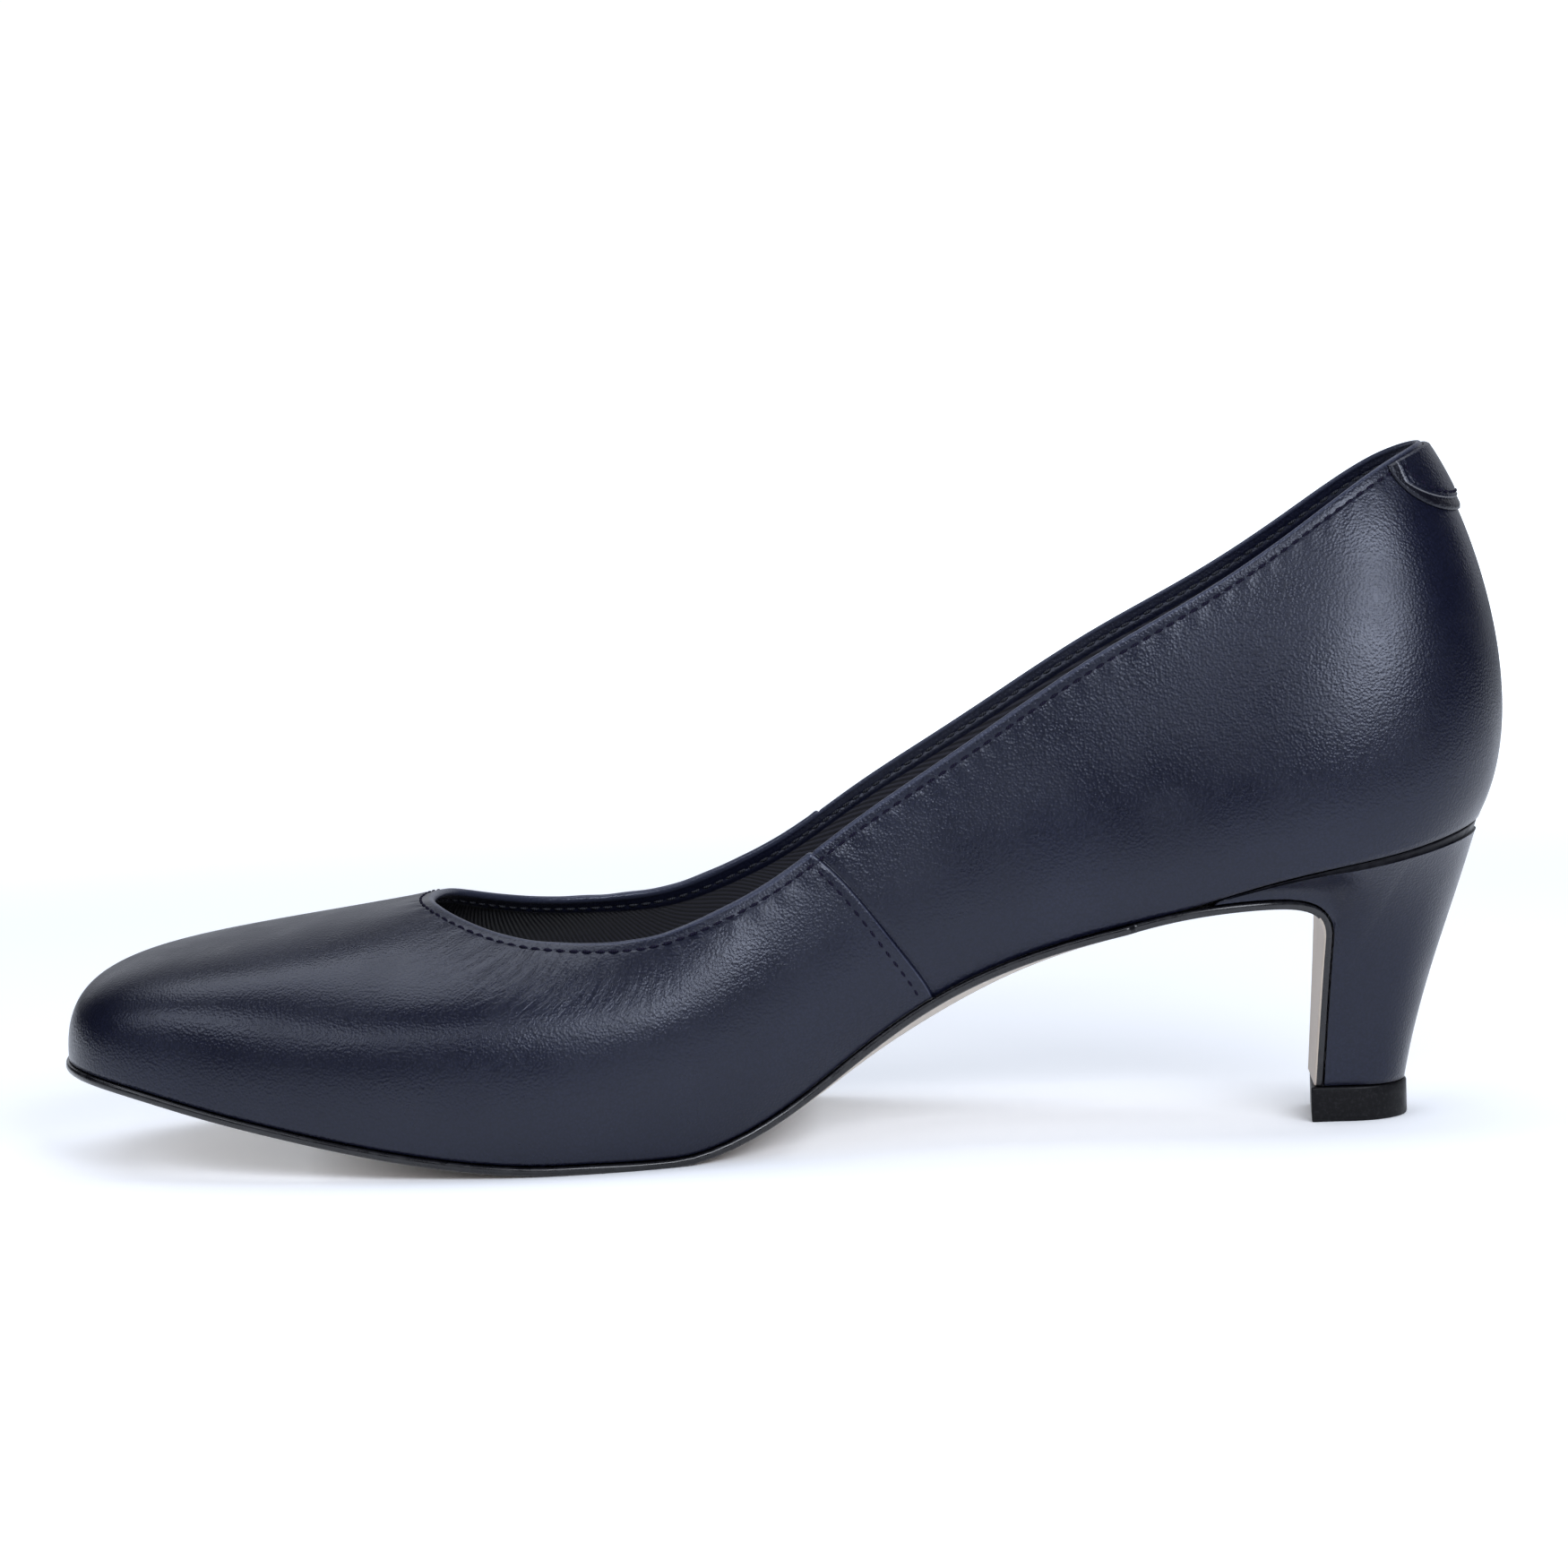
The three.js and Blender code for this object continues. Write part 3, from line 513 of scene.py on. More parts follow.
# Upper's grid: the outside is the wall plus the normal times the relief, the rim half a turn
# about the middle of the edge, and the inside the wall plus the normal times its offset
def makeUpper():
    look = upperLook
    s = upperColumns()
    count = len(s)
    band = np.array(look["bandRows"])
    vBand = 1 - band[None, :] / headSpeed(s)[:, None]

    def wallRows(below):
        low = vBand[:, -1:] * np.linspace(1, 0, below + 1)[None, 1:]
        v = np.hstack([vBand, low])
        place = np.repeat(s[:, None], v.shape[1], axis=1)
        u = bentColumn(place, v)
        return (place, u, *wallSurface(u, v))

    place, u, point, normal = (rows[:, ::-1] for rows in wallRows(look["rowsBelow"]))
    up = runLength(point, axis=1)
    depth = up[:, -1:] - up
    edgeRun = runLength(np.vstack([point[:, -1], point[:1, -1]]))
    along = np.repeat(edgeRun[:-1, None], place.shape[1], axis=1)
    seamMm = seamDistance(place)
    relief = upperRelief(place, depth, along, seamMm)
    outside = point + normal * relief[..., None]
    outside[:, 0] = bottomPoint(u[:, 0], relief[:, 0])
    _, uIn, pointIn, normalIn = wallRows(look["rowsInside"])
    below = band[-1] + runLength(pointIn[:, len(band) - 1:], axis=1)[:, 1:]
    depthIn = np.hstack([np.broadcast_to(band, (count, len(band))), below])
    groove = look["facingGroove"] * bell(depthIn, look["stitchDepth"], look["grooveWidth"])
    inside = pointIn + normalIn * (insideOffset(depthIn) + groove)[..., None]
    inside[:, -1] = bottomPoint(uIn[:, -1], np.full(count, -shell["wall"]))
    middle = (outside[:, -1] + inside[:, 0]) / 2
    reach = outside[:, -1] - middle
    radius = np.linalg.norm(reach, axis=-1, keepdims=True)
    rise = unit(outside[:, -1] - outside[:, -3]) * radius
    angles = np.radians(look["rimAngles"])
    rim = (middle[:, None] + reach[:, None] * np.cos(angles)[None, :, None]
           + rise[:, None] * np.sin(angles)[None, :, None])
    grid = np.concatenate([outside, rim, inside], axis=1)
    fill = lambda values, rest: np.hstack([values, np.full((count, grid.shape[1] - values.shape[1]), rest)])
    inStart = outside.shape[1] + len(angles)
    depthAll = fill(depth, 0.0)
    depthAll[:, inStart:] = -depthIn
    side = np.minimum(place, loopRows - place)
    flex = bell(side, *look["flexPlace"][0]) * bell(depth, *look["flexPlace"][1])
    uvAlong = np.repeat(edgeRun[:, None], grid.shape[1] + 1, axis=1)
    uvUp = np.hstack([up, up[:, -1:] + np.linspace(0.3, 2.2, len(angles)), up[:, -1:] + 2.4 + depthIn])
    uvUp = np.hstack([uvUp, uvUp[:, -1:] + 0.5])
    uvUp = np.vstack([uvUp, uvUp[:1]])
    uv = np.stack([uvAlong, uvUp]) / 1000
    slots = np.zeros(grid.shape[:2], int)
    slots[:, inStart:] = depthIn > look["facingDepth"] + 0.1
    return gridPiece("upperLeather", grid, uv=uv, slots=slots,
                     fields={"edgeDepth": depthAll, "seamMm": fill(seamMm, 50.0), "flex": fill(flex, 0.0)})


upperPiece = makeUpper()
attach(upperPiece, "root")
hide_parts("upper")
print("upper made", len(upperPiece.data.polygons))


edgePlaces = np.linspace(0, loopRows, 1200)


# Line of points at a depth below the topline, moved along the normal by an offset: v = 1 minus
# the depth over the wall line's speed at its head
def lineBelowEdge(depth, offset):
    v = 1 - depth / headSpeed(edgePlaces)
    point, normal = wallSurface(bentColumn(edgePlaces, v), v)
    return point + normal * np.asarray(offset)[..., None], normal


# Collar's two stitch rows: the wall at the stitches' depth, moved out to the panels' step and in
# to the facing, both less the stitches' sink
def makeCollarStitches():
    look = upperLook
    depth = look["stitchDepth"]
    step = panelStep(seamDistance(edgePlaces))
    outer, normal = lineBelowEdge(depth, step - look["stitchSink"])
    inner, _ = lineBelowEdge(depth, insideOffset(depth) + look["stitchSink"])
    return [stitchLine("collarStitches", outer, normal, look["stitchPitch"]),
            stitchLine("facingStitches", inner, -normal, look["stitchPitch"])]


threads = makeCollarStitches()


# Side seam stitches: a line on the vamp, a fixed distance from the vamp's cut edge
def seamStitches(name, seam, sign):
    look = upperLook
    v = np.linspace(0.035, 0.955, 60)
    s = np.full_like(v, seam + sign * look["seamInset"] / look["seamPitch"])
    point, normal = wallSurface(bentColumn(s, v), v)
    return stitchLine(name, point + normal * (shell["step"] - 0.06), normal, 2.1, trim=0.6)


threads.append(seamStitches("innerSeamStitches", seams["head"], -1))
threads.append(seamStitches("outerSeamStitches", loopRows - seams["head"], 1))
for thread in threads:
    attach(thread, "root")
print("stitches made")


# Sock: the insole board with its lining, a board with rounded sides in rings from the spine
# out to the foot of the wall
sockLook = dict(thickness=2.4, bevel=0.4, columns=300, rings=14, spineStart=0.1, spineEnd=0.9,
                rim=((0.25, 0.0), (1.2, 0.0), (1.9, 0.05), (2.25, 0.2)))  # height and inset


# Sock's grid: places at share r from the spine to the edge are spine times (1 - r) + edge times r
def makeSock():
    look = sockLook
    s = np.linspace(0, loopRows, look["columns"], endpoint=False)
    u = bentColumn(s, np.zeros_like(s))
    uInner = np.where(u <= heelLine, u, loopRows - u)
    x = lineAt(uInner)["feather"][..., 0]
    spine = np.clip(x, look["spineStart"] * last["length"], look["spineEnd"] * last["length"])
    r = np.linspace(0, 1, look["rings"]) ** 0.8

    def level(height, inset, rings):
        edge = bottomPoint(u, np.full_like(u, -shell["wall"] - clearance - inset))
        px = blend(spine[:, None], edge[:, :1], rings)
        py = edge[:, 1:2] * rings
        return joined(px, py, bottomHeight(px, py) + height)

    rim = [level(height, inset, np.ones(1)) for height, inset in look["rim"]]
    grid = np.concatenate([level(0, 0.15, r), *rim, level(look["thickness"], look["bevel"], r[::-1])],
                          axis=1)
    return gridPiece("sockLining", grid, closedAcross=False)


sockPiece = makeSock()
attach(sockPiece, "root")
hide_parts("insole")
print("sock made")

# Outsole: a thin plate with a rounded edge along the last's bottom and down the breast. Around
# its outline, rings run from the spine to the edge on top, round the edge and back underneath
soleLook = dict(columns=10, flapRows=60, flapAcross=10, rings=9, spineStart=0.1,
                topInset=0.6, stripe=1.6,
                breastFrom=0.52,      # share of the route from where the tread reaches further out
                profile=((0.35, 0.02), (0.16, 0.12), (0.04, 0.32), (0.0, 0.60), (0.03, 0.85),
                         (0.12, 1.08), (0.26, 1.28), (0.42, 1.39), (0.9, 1.4)))  # inset and depth


# Sole's outline in plan, with the spine opposite each place and the direction outwards: the feather
# edge plus outwards times the sole's edge, and from the waist on the flap's half width
def soleOutline():
    look = soleLook
    s = np.linspace(0, sole["waistRow"], sole["waistRow"] * look["columns"] + 1)

    def side(sign):
        u = bentColumn(s, 0 * s)
        u = u if sign < 0 else loopRows - u
        out = outward(u, "feather")
        plan = lineAt(u)["feather"] + out * sole["edge"]
        x = lineAt(np.where(u <= heelLine, u, loopRows - u))["feather"][..., 0]
        spine = np.maximum(x, look["spineStart"] * last["length"])
        t = np.linspace(0, 1, look["flapRows"] + 1)[1:]
        p = waistX + t * routeLength
        flap = joined(p, flapSide(p, sign))
        lastSpine = soleEnd - routeLength / look["flapRows"]
        return (np.vstack([plan, flap]), np.concatenate([spine, np.minimum(p, lastSpine)]),
                np.vstack([out, joined(0 * p, 0 * p + sign)]))

    inner, innerSpine, innerOut = side(-1)
    outer, outerSpine, outerOut = side(1)
    across = np.linspace(inner[-1, 1], outer[-1, 1], look["flapAcross"] + 1)[1:-1]
    end = joined(np.full_like(across, soleEnd), across)
    plan = np.vstack([inner, end, outer[:0:-1]])
    spine = np.concatenate([innerSpine, np.full_like(across, innerSpine[-1]), outerSpine[:0:-1]])
    out = np.vstack([innerOut, np.zeros_like(end), outerOut[:0:-1]])
    return plan, spine, out


# Outsole's grid: spine times (1 - r) + (outline - outwards times inset) times r, then sunk by a
# depth to the tread side, but not below the floor
def makeOutsole():
    look = soleLook
    plan, spine, out = soleOutline()
    rings = np.linspace(0, 1, look["rings"])
    top = [(r, look["topInset"], 0.0) for r in rings]
    edge = [(1, inset, depth) for inset, depth in look["profile"]]
    under = [(r, look["stripe"], sole["thickness"]) for r in rings[::-1]]
    columns = []
    for r, inset, depth in top + edge + under:
        p = blend(spine, plan[:, 0] - out[:, 0] * inset, r)
        y = (plan[:, 1] - out[:, 1] * inset) * r
        point, down = soleTop(p, y)
        point = point + down * depth
        point[:, 2] = np.maximum(point[:, 2], 0)
        columns.append(point)
    grid = np.stack(columns, axis=1)
    slots = np.zeros(grid.shape[:2], int)
    slots[:, len(top) + len(edge) - 1:] = 1
    onBreast = plan[:, 0] > waistX + look["breastFrom"] * routeLength
    slots[onBreast, len(top) + 5:] = 1
    return gridPiece("outsolePlate", grid, closedAcross=False, slots=slots)


outsolePiece = makeOutsole()
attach(outsolePiece, "root")
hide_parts("outsole")
print("outsole made")


# Heel block: side lines run from the seat's edge to the lower edge, as cubic curves. Stations
# go down the breast's edge from the wing's tip to the lift, then around the lift's back
heelLook = dict(wingRow=10.75, cornerRow=12.6, wingShare=5 / 21, breastStations=70, backColumns=44,
                rows=40, across=12, inset=0.2, seatArm=0.3, footArm=0.38,
                seatLean=(40, 15), footLean=(4, 11),
                rimHeight=(0.7, 2.5),        # black rim under the upper, at the wing and the back, its gloss dimmed as painted shade
                rimRows=(0.0, 0.3, 0.6, 0.88, 0.96, 1.0, 1.08),
                rimSink=(0.35, 0.35, 0.35, 0.32, 0.15, -0.06, -0.04))


# Half of the lift's outline: straight along the side, then a quarter of an ellipse to the back,
# corner + depth times sine and half width times cosine of the angle
def liftSide(t, side, front, back, halfWidth):
    corner = front + lift["corner"]
    straight = lift["corner"] / (lift["corner"] + (back - corner) * math.pi / 2)
    angle = np.clip((t - straight) / (1 - straight), 0, 1) * math.pi / 2
    x = np.where(t <= straight, front + (corner - front) * t / straight,
                 corner + (back - corner) * np.sin(angle))
    y = np.where(t <= straight, side * halfWidth, side * halfWidth * np.cos(angle))
    return joined(x, y)


# Side lines of the heel: cubic curves from the seat's edge to their lower ends, with arms that
# lean by shares of the line's span, drawn inwards by the rim's sink
def heelSideLines(u, ends, turn):
    look = heelLook
    edge = bottomPoint(u, np.full_like(u, -shell["step"]))
    edge[:, 2] -= clearance
    out = outward(u, "feather")
    span = np.linalg.norm(ends - edge, axis=-1)
    seatTurn = np.radians(blend(*look["seatLean"], turn))
    footTurn = np.radians(blend(*look["footLean"], turn))
    seatArm = leaning(-out, seatTurn, -1) * (look["seatArm"] * span)[:, None]
    footArm = leaning(out, footTurn, 1) * (look["footArm"] * span)[:, None]
    control = [c[:, None] for c in (edge, edge + seatArm, ends + footArm, ends)]
    back = np.clip(edge[:, 0] - edge[0, 0], 0, None) / (lastEnd - edge[0, 0])
    share = np.minimum(blend(*look["rimHeight"], back) / span, 0.35)[:, None]
    below = np.linspace(1.08 * share[:, 0], 1, look["rows"] + 1, axis=1)[:, 1:]
    v = np.concatenate([share * np.array(look["rimRows"]), below], axis=1)
    sink = np.zeros_like(v)
    sink[:, :len(look["rimSink"])] = np.array(look["rimSink"]) * np.minimum(share / 0.04, 1)
    level = np.hstack([out, np.zeros((len(out), 1))])
    return cubicPoint(control, v) - level[:, None] * sink[..., None]


# Heel's grid: both side lines, joined over the seat and under the block by even shares of the way
# from one side to the other
def makeHeel():
    look = heelLook
    station = np.linspace(look["wingShare"], 1, look["breastStations"])
    t = (station - look["wingShare"]) / (1 - look["wingShare"])
    p = waistX + station * routeLength
    uBreast = look["wingRow"] + (look["cornerRow"] - look["wingRow"]) * np.sqrt(t)

    def under(y):
        point, down = soleTop(p, y)
        point = point - down * clearance
        point[-1, 2] = liftTop
        return point

    innerEnds = under(flapSide(p, -1) + look["inset"])
    outerEnds = under(flapSide(p, 1) - look["inset"])
    front = innerEnds[-1, 0]
    half = outerEnds[-1, 1]
    turn = np.linspace(0, 1, look["backColumns"] + 1)[1:]
    back = [liftSide(turn, side, front, liftBack - lift["step"], half) for side in (-1, 1)]
    back = [np.hstack([b, np.full((len(b), 1), liftTop)]) for b in back]
    uBack = look["cornerRow"] + (heelLine - look["cornerRow"]) * turn
    u = np.concatenate([uBreast, uBack])
    turns = np.concatenate([0 * uBreast, turn])
    inner = heelSideLines(u, np.vstack([innerEnds, back[0]]), turns)
    outer = heelSideLines(loopRows - u, np.vstack([outerEnds, back[1]]), turns)
    share = np.linspace(0, 1, look["across"] + 1)[1:-1]
    seat = blend(inner[:, :1], outer[:, :1], share[None, :, None])
    seat[..., 2] = bottomHeight(seat[..., 0], seat[..., 1]) - clearance
    lowY = blend(outer[:, -1:, 1], inner[:, -1:, 1], share)
    low = np.stack([under(lowY[:len(p), k]) for k in range(len(share))], axis=1)
    flatX = np.repeat(inner[len(p):, -1:, 0], len(share), axis=1)
    lower = np.vstack([low, joined(flatX, lowY[len(p):], np.full_like(flatX, liftTop))])
    ring = np.concatenate([inner[:, ::-1], seat, outer, lower], axis=1)
    # the tip closes on its own middle line
    rows = inner.shape[1]
    upperEdge = np.vstack([inner[0, :1], seat[0], outer[0, :1]])
    lowerEdge = np.vstack([inner[0, -1:], lower[0, ::-1], outer[0, -1:]])
    middle = (upperEdge + lowerEdge) / 2
    along = np.concatenate([np.zeros(rows), np.arange(1, len(share) + 1),
                            np.full(rows, len(share) + 1), np.arange(len(share), 0, -1)])
    closed = pointsAt(along, np.arange(len(middle)), middle)
    grid = np.concatenate([closed[None], ring], axis=0)
    slots = np.zeros(grid.shape[:2], int)
    rimFaces = len(look["rimRows"]) - 2
    slots[:, rows - 1 - rimFaces:rows + len(share) + rimFaces] = 1
    return gridPiece("heelBlock", grid, closedLines=False, slots=slots)


heelPiece = makeHeel()
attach(heelPiece, "root")
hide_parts("heel")
print("heel made")


# Top lift: the lift's outline in layers, drawn in a little at the top and bottom edges
liftLook = dict(columns=60, round=0.35, ahead=(0.5, -0.3))  # how far its front corners stand out


# Lift's grid: outline + direction to the centre times an inset, at each height of the profile
def makeTopLift():
    look = liftLook
    t = np.linspace(0, 1, look["columns"])
    near = liftSide(t, -1, liftFront - look["ahead"][0], liftBack, lift["width"] / 2)
    far = liftSide(t, 1, liftFront - look["ahead"][1], liftBack, lift["width"] / 2)[-2::-1]
    ends = np.linspace(far[-1], near[0], 14)[1:-1]
    loop = np.vstack([near, far, ends])
    centre = np.array([(liftFront + liftBack) / 2, 0])
    inward = unit(centre - loop)
    levels = [(7.0, 0.0), (2.5, 0.0), (look["round"], 0.0), (0.1, 0.1), (0.0, look["round"]),
              (0.0, 2.0), (0.0, 4.0), (0.0, lift["height"] - look["round"]), (0.1, lift["height"] - 0.1),
              (look["round"], lift["height"]), (2.5, lift["height"]), (7.0, lift["height"])]
    layers = [np.hstack([loop + inward * inset, np.full((len(loop), 1), z)]) for inset, z in levels]
    grid = np.stack(layers, axis=1)
    centres = [np.tile(np.append(centre, z), (len(loop), 1)) for z in (0.0, lift["height"])]
    grid = np.concatenate([centres[0][:, None], grid, centres[1][:, None]], axis=1)
    return gridPiece("topLift", grid, closedAcross=False)


liftPiece = makeTopLift()
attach(liftPiece, "root")
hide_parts("top_lift")
print("top lift made")


# Back tab: a thin patch over the back of the collar, with a running from -1 to 1 across it
tabLook = dict(width=23, height=9.5, thickness=0.6, drop=0.6, power=2.6, columns=110, rows=44,
               rimWidth=1.25,        # dark turned edge around the tab's own patch, partly painted shade
               patchStep=0.30, edgeDrop=0.30, stitchInset=1.85, stitchPitch=1.9)


# Reach of the tab in wall lines: from the back line to where the topline is half its width aside
def tabReach():
    u = np.linspace(heelLine - 2, heelLine, 400)
    y = lineAt(u)["topline"][:, 1]
    return heelLine - float(np.interp(-tabLook["width"] / 2, y, u))


# Depth of the tab's lower edge: drop mixed with height by the root of 1 - |a| to the power
def tabDrop(a):
    look = tabLook
    share = np.sqrt(np.maximum(1 - np.abs(a) ** look["power"], 0))
    return blend(look["drop"], look["height"], share)


# Point of the tab: the wall at a times the reach and at a depth, plus its normal times an offset
def tabSurface(a, depth, offset):
    u = heelLine + a * tabReach()
    point, normal = wallSurface(u, 1 - depth / headSpeed(u))
    return point + normal * np.asarray(offset)[..., None], normal


# Tab's grid: the outside raised by its thickness and its patch, less bells at its rim and stitches,
# and the inside just clear of the quarters
def makeBackTab():
    look = tabLook
    a = np.sin(np.linspace(-0.5, 0.5, look["columns"]) * math.pi)[:, None]
    drop = tabDrop(a)
    t = np.linspace(0, 1, look["rows"])[None, :]
    low = -shell["step"] + clearance * 0.6
    high = -shell["step"] + clearance + look["thickness"]
    below = (1 - t) * (drop - look["drop"])
    side = np.minimum(below, (1 - np.abs(a)) * look["width"] / 2)
    rounding = bell(np.minimum(side, t * (drop - look["drop"])), 0, 0.25)
    patch = smoothStep((side - look["rimWidth"]) / 0.25)
    height = high - look["edgeDrop"] * rounding + look["patchStep"] * (patch - 0.6)
    groove = 0.14 * bell(side, look["stitchInset"], 0.28)
    depth = look["drop"] + (drop - look["drop"]) * t
    aGrid = np.broadcast_to(a, depth.shape)
    outer, _ = tabSurface(aGrid, depth, height - groove)
    inner, _ = tabSurface(aGrid, depth[:, ::-1], np.full(depth.shape, low))
    grid = np.concatenate([outer, inner], axis=1)
    return gridPiece("backTab", grid, closedLines=False,
                     fields={"rimMm": np.concatenate([side, 0 * side], axis=1)})


tabPiece = makeBackTab()
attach(tabPiece, "root")
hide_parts("back_tab")


# Stitches along the tab's lower edge: its outline moved inwards in its own plane by the inset
def makeTabStitches():
    look = tabLook
    a = np.sin(np.linspace(-0.5, 0.5, 400) * math.pi)
    outline = joined(a * look["width"] / 2, tabDrop(a))
    run = unit(np.gradient(outline, axis=0))
    line = outline + joined(run[:, 1], -run[:, 0]) * look["stitchInset"]
    line = line[line[:, 1] > look["drop"] + 0.9]
    height = -shell["step"] + clearance + look["thickness"] + 0.05
    point, normal = tabSurface(line[:, 0] * 2 / look["width"], line[:, 1],
                               np.full(len(line), height))
    return stitchLine("tabStitches", point, normal, look["stitchPitch"])


tabThread = makeTabStitches()
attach(tabThread, "root")
threads.append(tabThread)
print("back tab made")


# Inputs of a node, named with _ for a space, or n0, n1 and so on by their place: each gets a value
# or another node's output
def feed(node, **inputs):
    for key, value in inputs.items():
        socket = node.inputs[int(key[1:]) if key[1:].isdigit() else key.replace("_", " ")]
        if isinstance(value, bpy.types.NodeSocket):
            node.id_data.links.new(value, socket)
        else:
            socket.default_value = value
    return node


# Material with a node tree: the shader gets its even values, and the rest is fed to it later
def newMaterial(name, base, roughness, coat=0.0, coatRoughness=0.3, sheen=0.0, specular=0.4):
    material = bpy.data.materials.new(name)
    material.use_nodes = True
    shader = feed(material.node_tree.nodes["Principled BSDF"], Base_Color=(*base, 1),
                  Roughness=roughness, Coat_Weight=coat, Coat_Roughness=coatRoughness,
                  Sheen_Weight=sheen, Specular_IOR_Level=specular)
    return material, material.node_tree, shader


# Node of a kind, with settings as its own options
def addNode(tree, kind, settings=None, **inputs):
    node = tree.nodes.new(kind)
    for key, value in (settings or {}).items():
        setattr(node, key, value)
    return feed(node, **inputs)


# Sum, product or other operation on up to three values
def mathNode(tree, operation, a, b=0.0, c=0.0):
    return addNode(tree, "ShaderNodeMath", {"operation": operation}, n0=a, n1=b, n2=c).outputs[0]


# Distance of a value from its middle
def away(tree, value, middle):
    return mathNode(tree, "ABSOLUTE", mathNode(tree, "SUBTRACT", value, middle))


# Smooth step of a value from low to high, scaled to run from toLow to toHigh
def ramp(tree, value, low, high, toLow=0.0, toHigh=1.0):
    return addNode(tree, "ShaderNodeMapRange", {"interpolation_type": "SMOOTHSTEP"}, Value=value,
                   From_Min=low, From_Max=high, To_Min=toLow, To_Max=toHigh).outputs["Result"]


# Colour a times (1 - share) + colour b times share
def mixColor(tree, share, a, b):
    a, b = ((*c, 1) if isinstance(c, tuple) else c for c in (a, b))
    return addNode(tree, "ShaderNodeMix", {"data_type": "RGBA"}, n0=share, n6=a, n7=b).outputs[2]


# Cloudy value from 0 to 1, as the sum of finer and finer noise
def noise(tree, coords, scale, detail=2.0, roughness=0.5, distortion=0.0):
    return addNode(tree, "ShaderNodeTexNoise", Vector=coords, Scale=scale, Detail=detail,
                   Roughness=roughness, Distortion=distortion).outputs["Fac"]


# Normal leaning with the slope of height times distance, on top of the normal before it
def bump(tree, height, distance, before=None):
    under = {} if before is None else {"Normal": before}
    return addNode(tree, "ShaderNodeBump", Height=height, Distance=distance, Strength=1.0,
                   **under).outputs["Normal"]


# Place on the piece in metres of the frame
def objectCoords(tree):
    return tree.nodes.new("ShaderNodeTexCoord").outputs["Object"]


# Value that the piece keeps at each of its points
def field(tree, name):
    return addNode(tree, "ShaderNodeAttribute", {"attribute_name": name}).outputs["Fac"]


# Smooth leather: pebbled grain of small cells, finer pores, soft clouds of colour and gloss, painted
# shade in the grain's grooves, and a painted highlight along cut or folded edges where the piece has an
# edgeDepth field
leatherLook = dict(
    navy=(0.0048, 0.0058, 0.0165),
    navyLight=(0.0075, 0.0090, 0.0225),
    edgeHighlight=(0.060, 0.068, 0.110),
    rawEdge=(0.26, 0.26, 0.27),
    rimDyeAndShade=(0.003, 0.003, 0.007),
    grainScale=2300.0,
    warp=(240.0, 3.0),       # noises are a scale, a detail, a roughness and a distortion
    cloud=(38.0, 4.0, 0.55),
    pores=(4200.0, 3.0, 0.6),
    glossCloud=(95.0, 4.0),
    hairs=(900.0, 4.0, 0.6, 0.8),
    hairStretch=0.16,
    grainBump=0.000060,      # bumps in metres
    poreBump=0.000022,
    creaseBump=0.00058,
    roughness=(0.27, 0.37),
    gloss=(0.82, 0.87, 1.0),  # tint of its highlights
    coat=0.10,
    coatRoughness=0.30,
)


# Leather: colour = navy mixed with light clouds, with painted shade in the grain's grooves and a painted
# highlight at edges.
# Height = grain cells + a share of slow noise, then pores, then hairlines times the flex field
def leatherMaterial(name, tint=1.0, edged=False, rimmed=False, grain=1.0):
    look = leatherLook
    base = tuple(c * tint for c in look["navy"])
    material, tree, shader = newMaterial(name, base, 0.42, look["coat"], look["coatRoughness"])
    coords = objectCoords(tree)
    warp = noise(tree, coords, *look["warp"])
    cells = addNode(tree, "ShaderNodeTexVoronoi", {"feature": "SMOOTH_F1"}, Vector=coords,
                    Scale=look["grainScale"], Smoothness=0.6).outputs["Distance"]
    pebble = mathNode(tree, "MULTIPLY_ADD", warp, 0.35, cells)
    pores = noise(tree, coords, *look["pores"])
    patch = ramp(tree, noise(tree, coords, *look["cloud"]), 0.35, 0.68)
    color = mixColor(tree, patch, base, tuple(c * tint for c in look["navyLight"]))
    # painted shade: the colour darkens in the grain's grooves, where shade would fall
    shade = ramp(tree, cells, 0.15, 0.75, 0.0, 0.60)
    color = mixColor(tree, shade, color, tuple(c * 0.45 for c in base))
    if edged:
        # painted highlight: the topline's fold and the vamp's cut edge are made paler where they would
        # catch the light
        rim = ramp(tree, away(tree, field(tree, "edgeDepth"), 0.05), 0.08, 0.35, 0.45, 0.0)
        seam = ramp(tree, away(tree, field(tree, "seamMm"), 0.18), 0.03, 0.16, 0.5, 0.0)
        color = mixColor(tree, mathNode(tree, "MAXIMUM", rim, seam), color, look["edgeHighlight"])
    if rimmed:
        rim = field(tree, "rimMm")
        # painted shade: the tab's turned rim is darkened, partly its own darker layer and partly shade
        # below the patch
        color = mixColor(tree, ramp(tree, rim, 1.10, 1.28, 1.0, 0.0), color, look["rimDyeAndShade"])
        line = ramp(tree, away(tree, rim, 1.30), 0.02, 0.10, 0.5, 0.0)
        color = mixColor(tree, line, color, look["rawEdge"])
    rough = ramp(tree, noise(tree, coords, *look["glossCloud"]), 0.3, 0.7, *look["roughness"])
    normal = bump(tree, pebble, look["grainBump"] * grain)
    normal = bump(tree, pores, look["poreBump"] * grain, normal)
    if edged:
        run = addNode(tree, "ShaderNodeUVMap", {"uv_map": "run"}).outputs["UV"]
        stretch = (1.0, look["hairStretch"], 1.0)
        thin = addNode(tree, "ShaderNodeMapping", Vector=run, Scale=stretch).outputs["Vector"]
        hair = mathNode(tree, "MULTIPLY", noise(tree, thin, *look["hairs"]), field(tree, "flex"))
        normal = bump(tree, hair, look["creaseBump"], normal)
    feed(shader, Base_Color=color, Roughness=rough, Normal=normal, Specular_Tint=(*look["gloss"], 1))
    return material


# Ribbed lining cloth, with lengths in metres
liningLook = dict(tones=((0.006, 0.006, 0.010), (0.028, 0.028, 0.040)), slant=0.45, ribPitch=0.0009,
                  ribHeight=0.00004, weaveScale=4200.0, weaveHeight=0.00003)


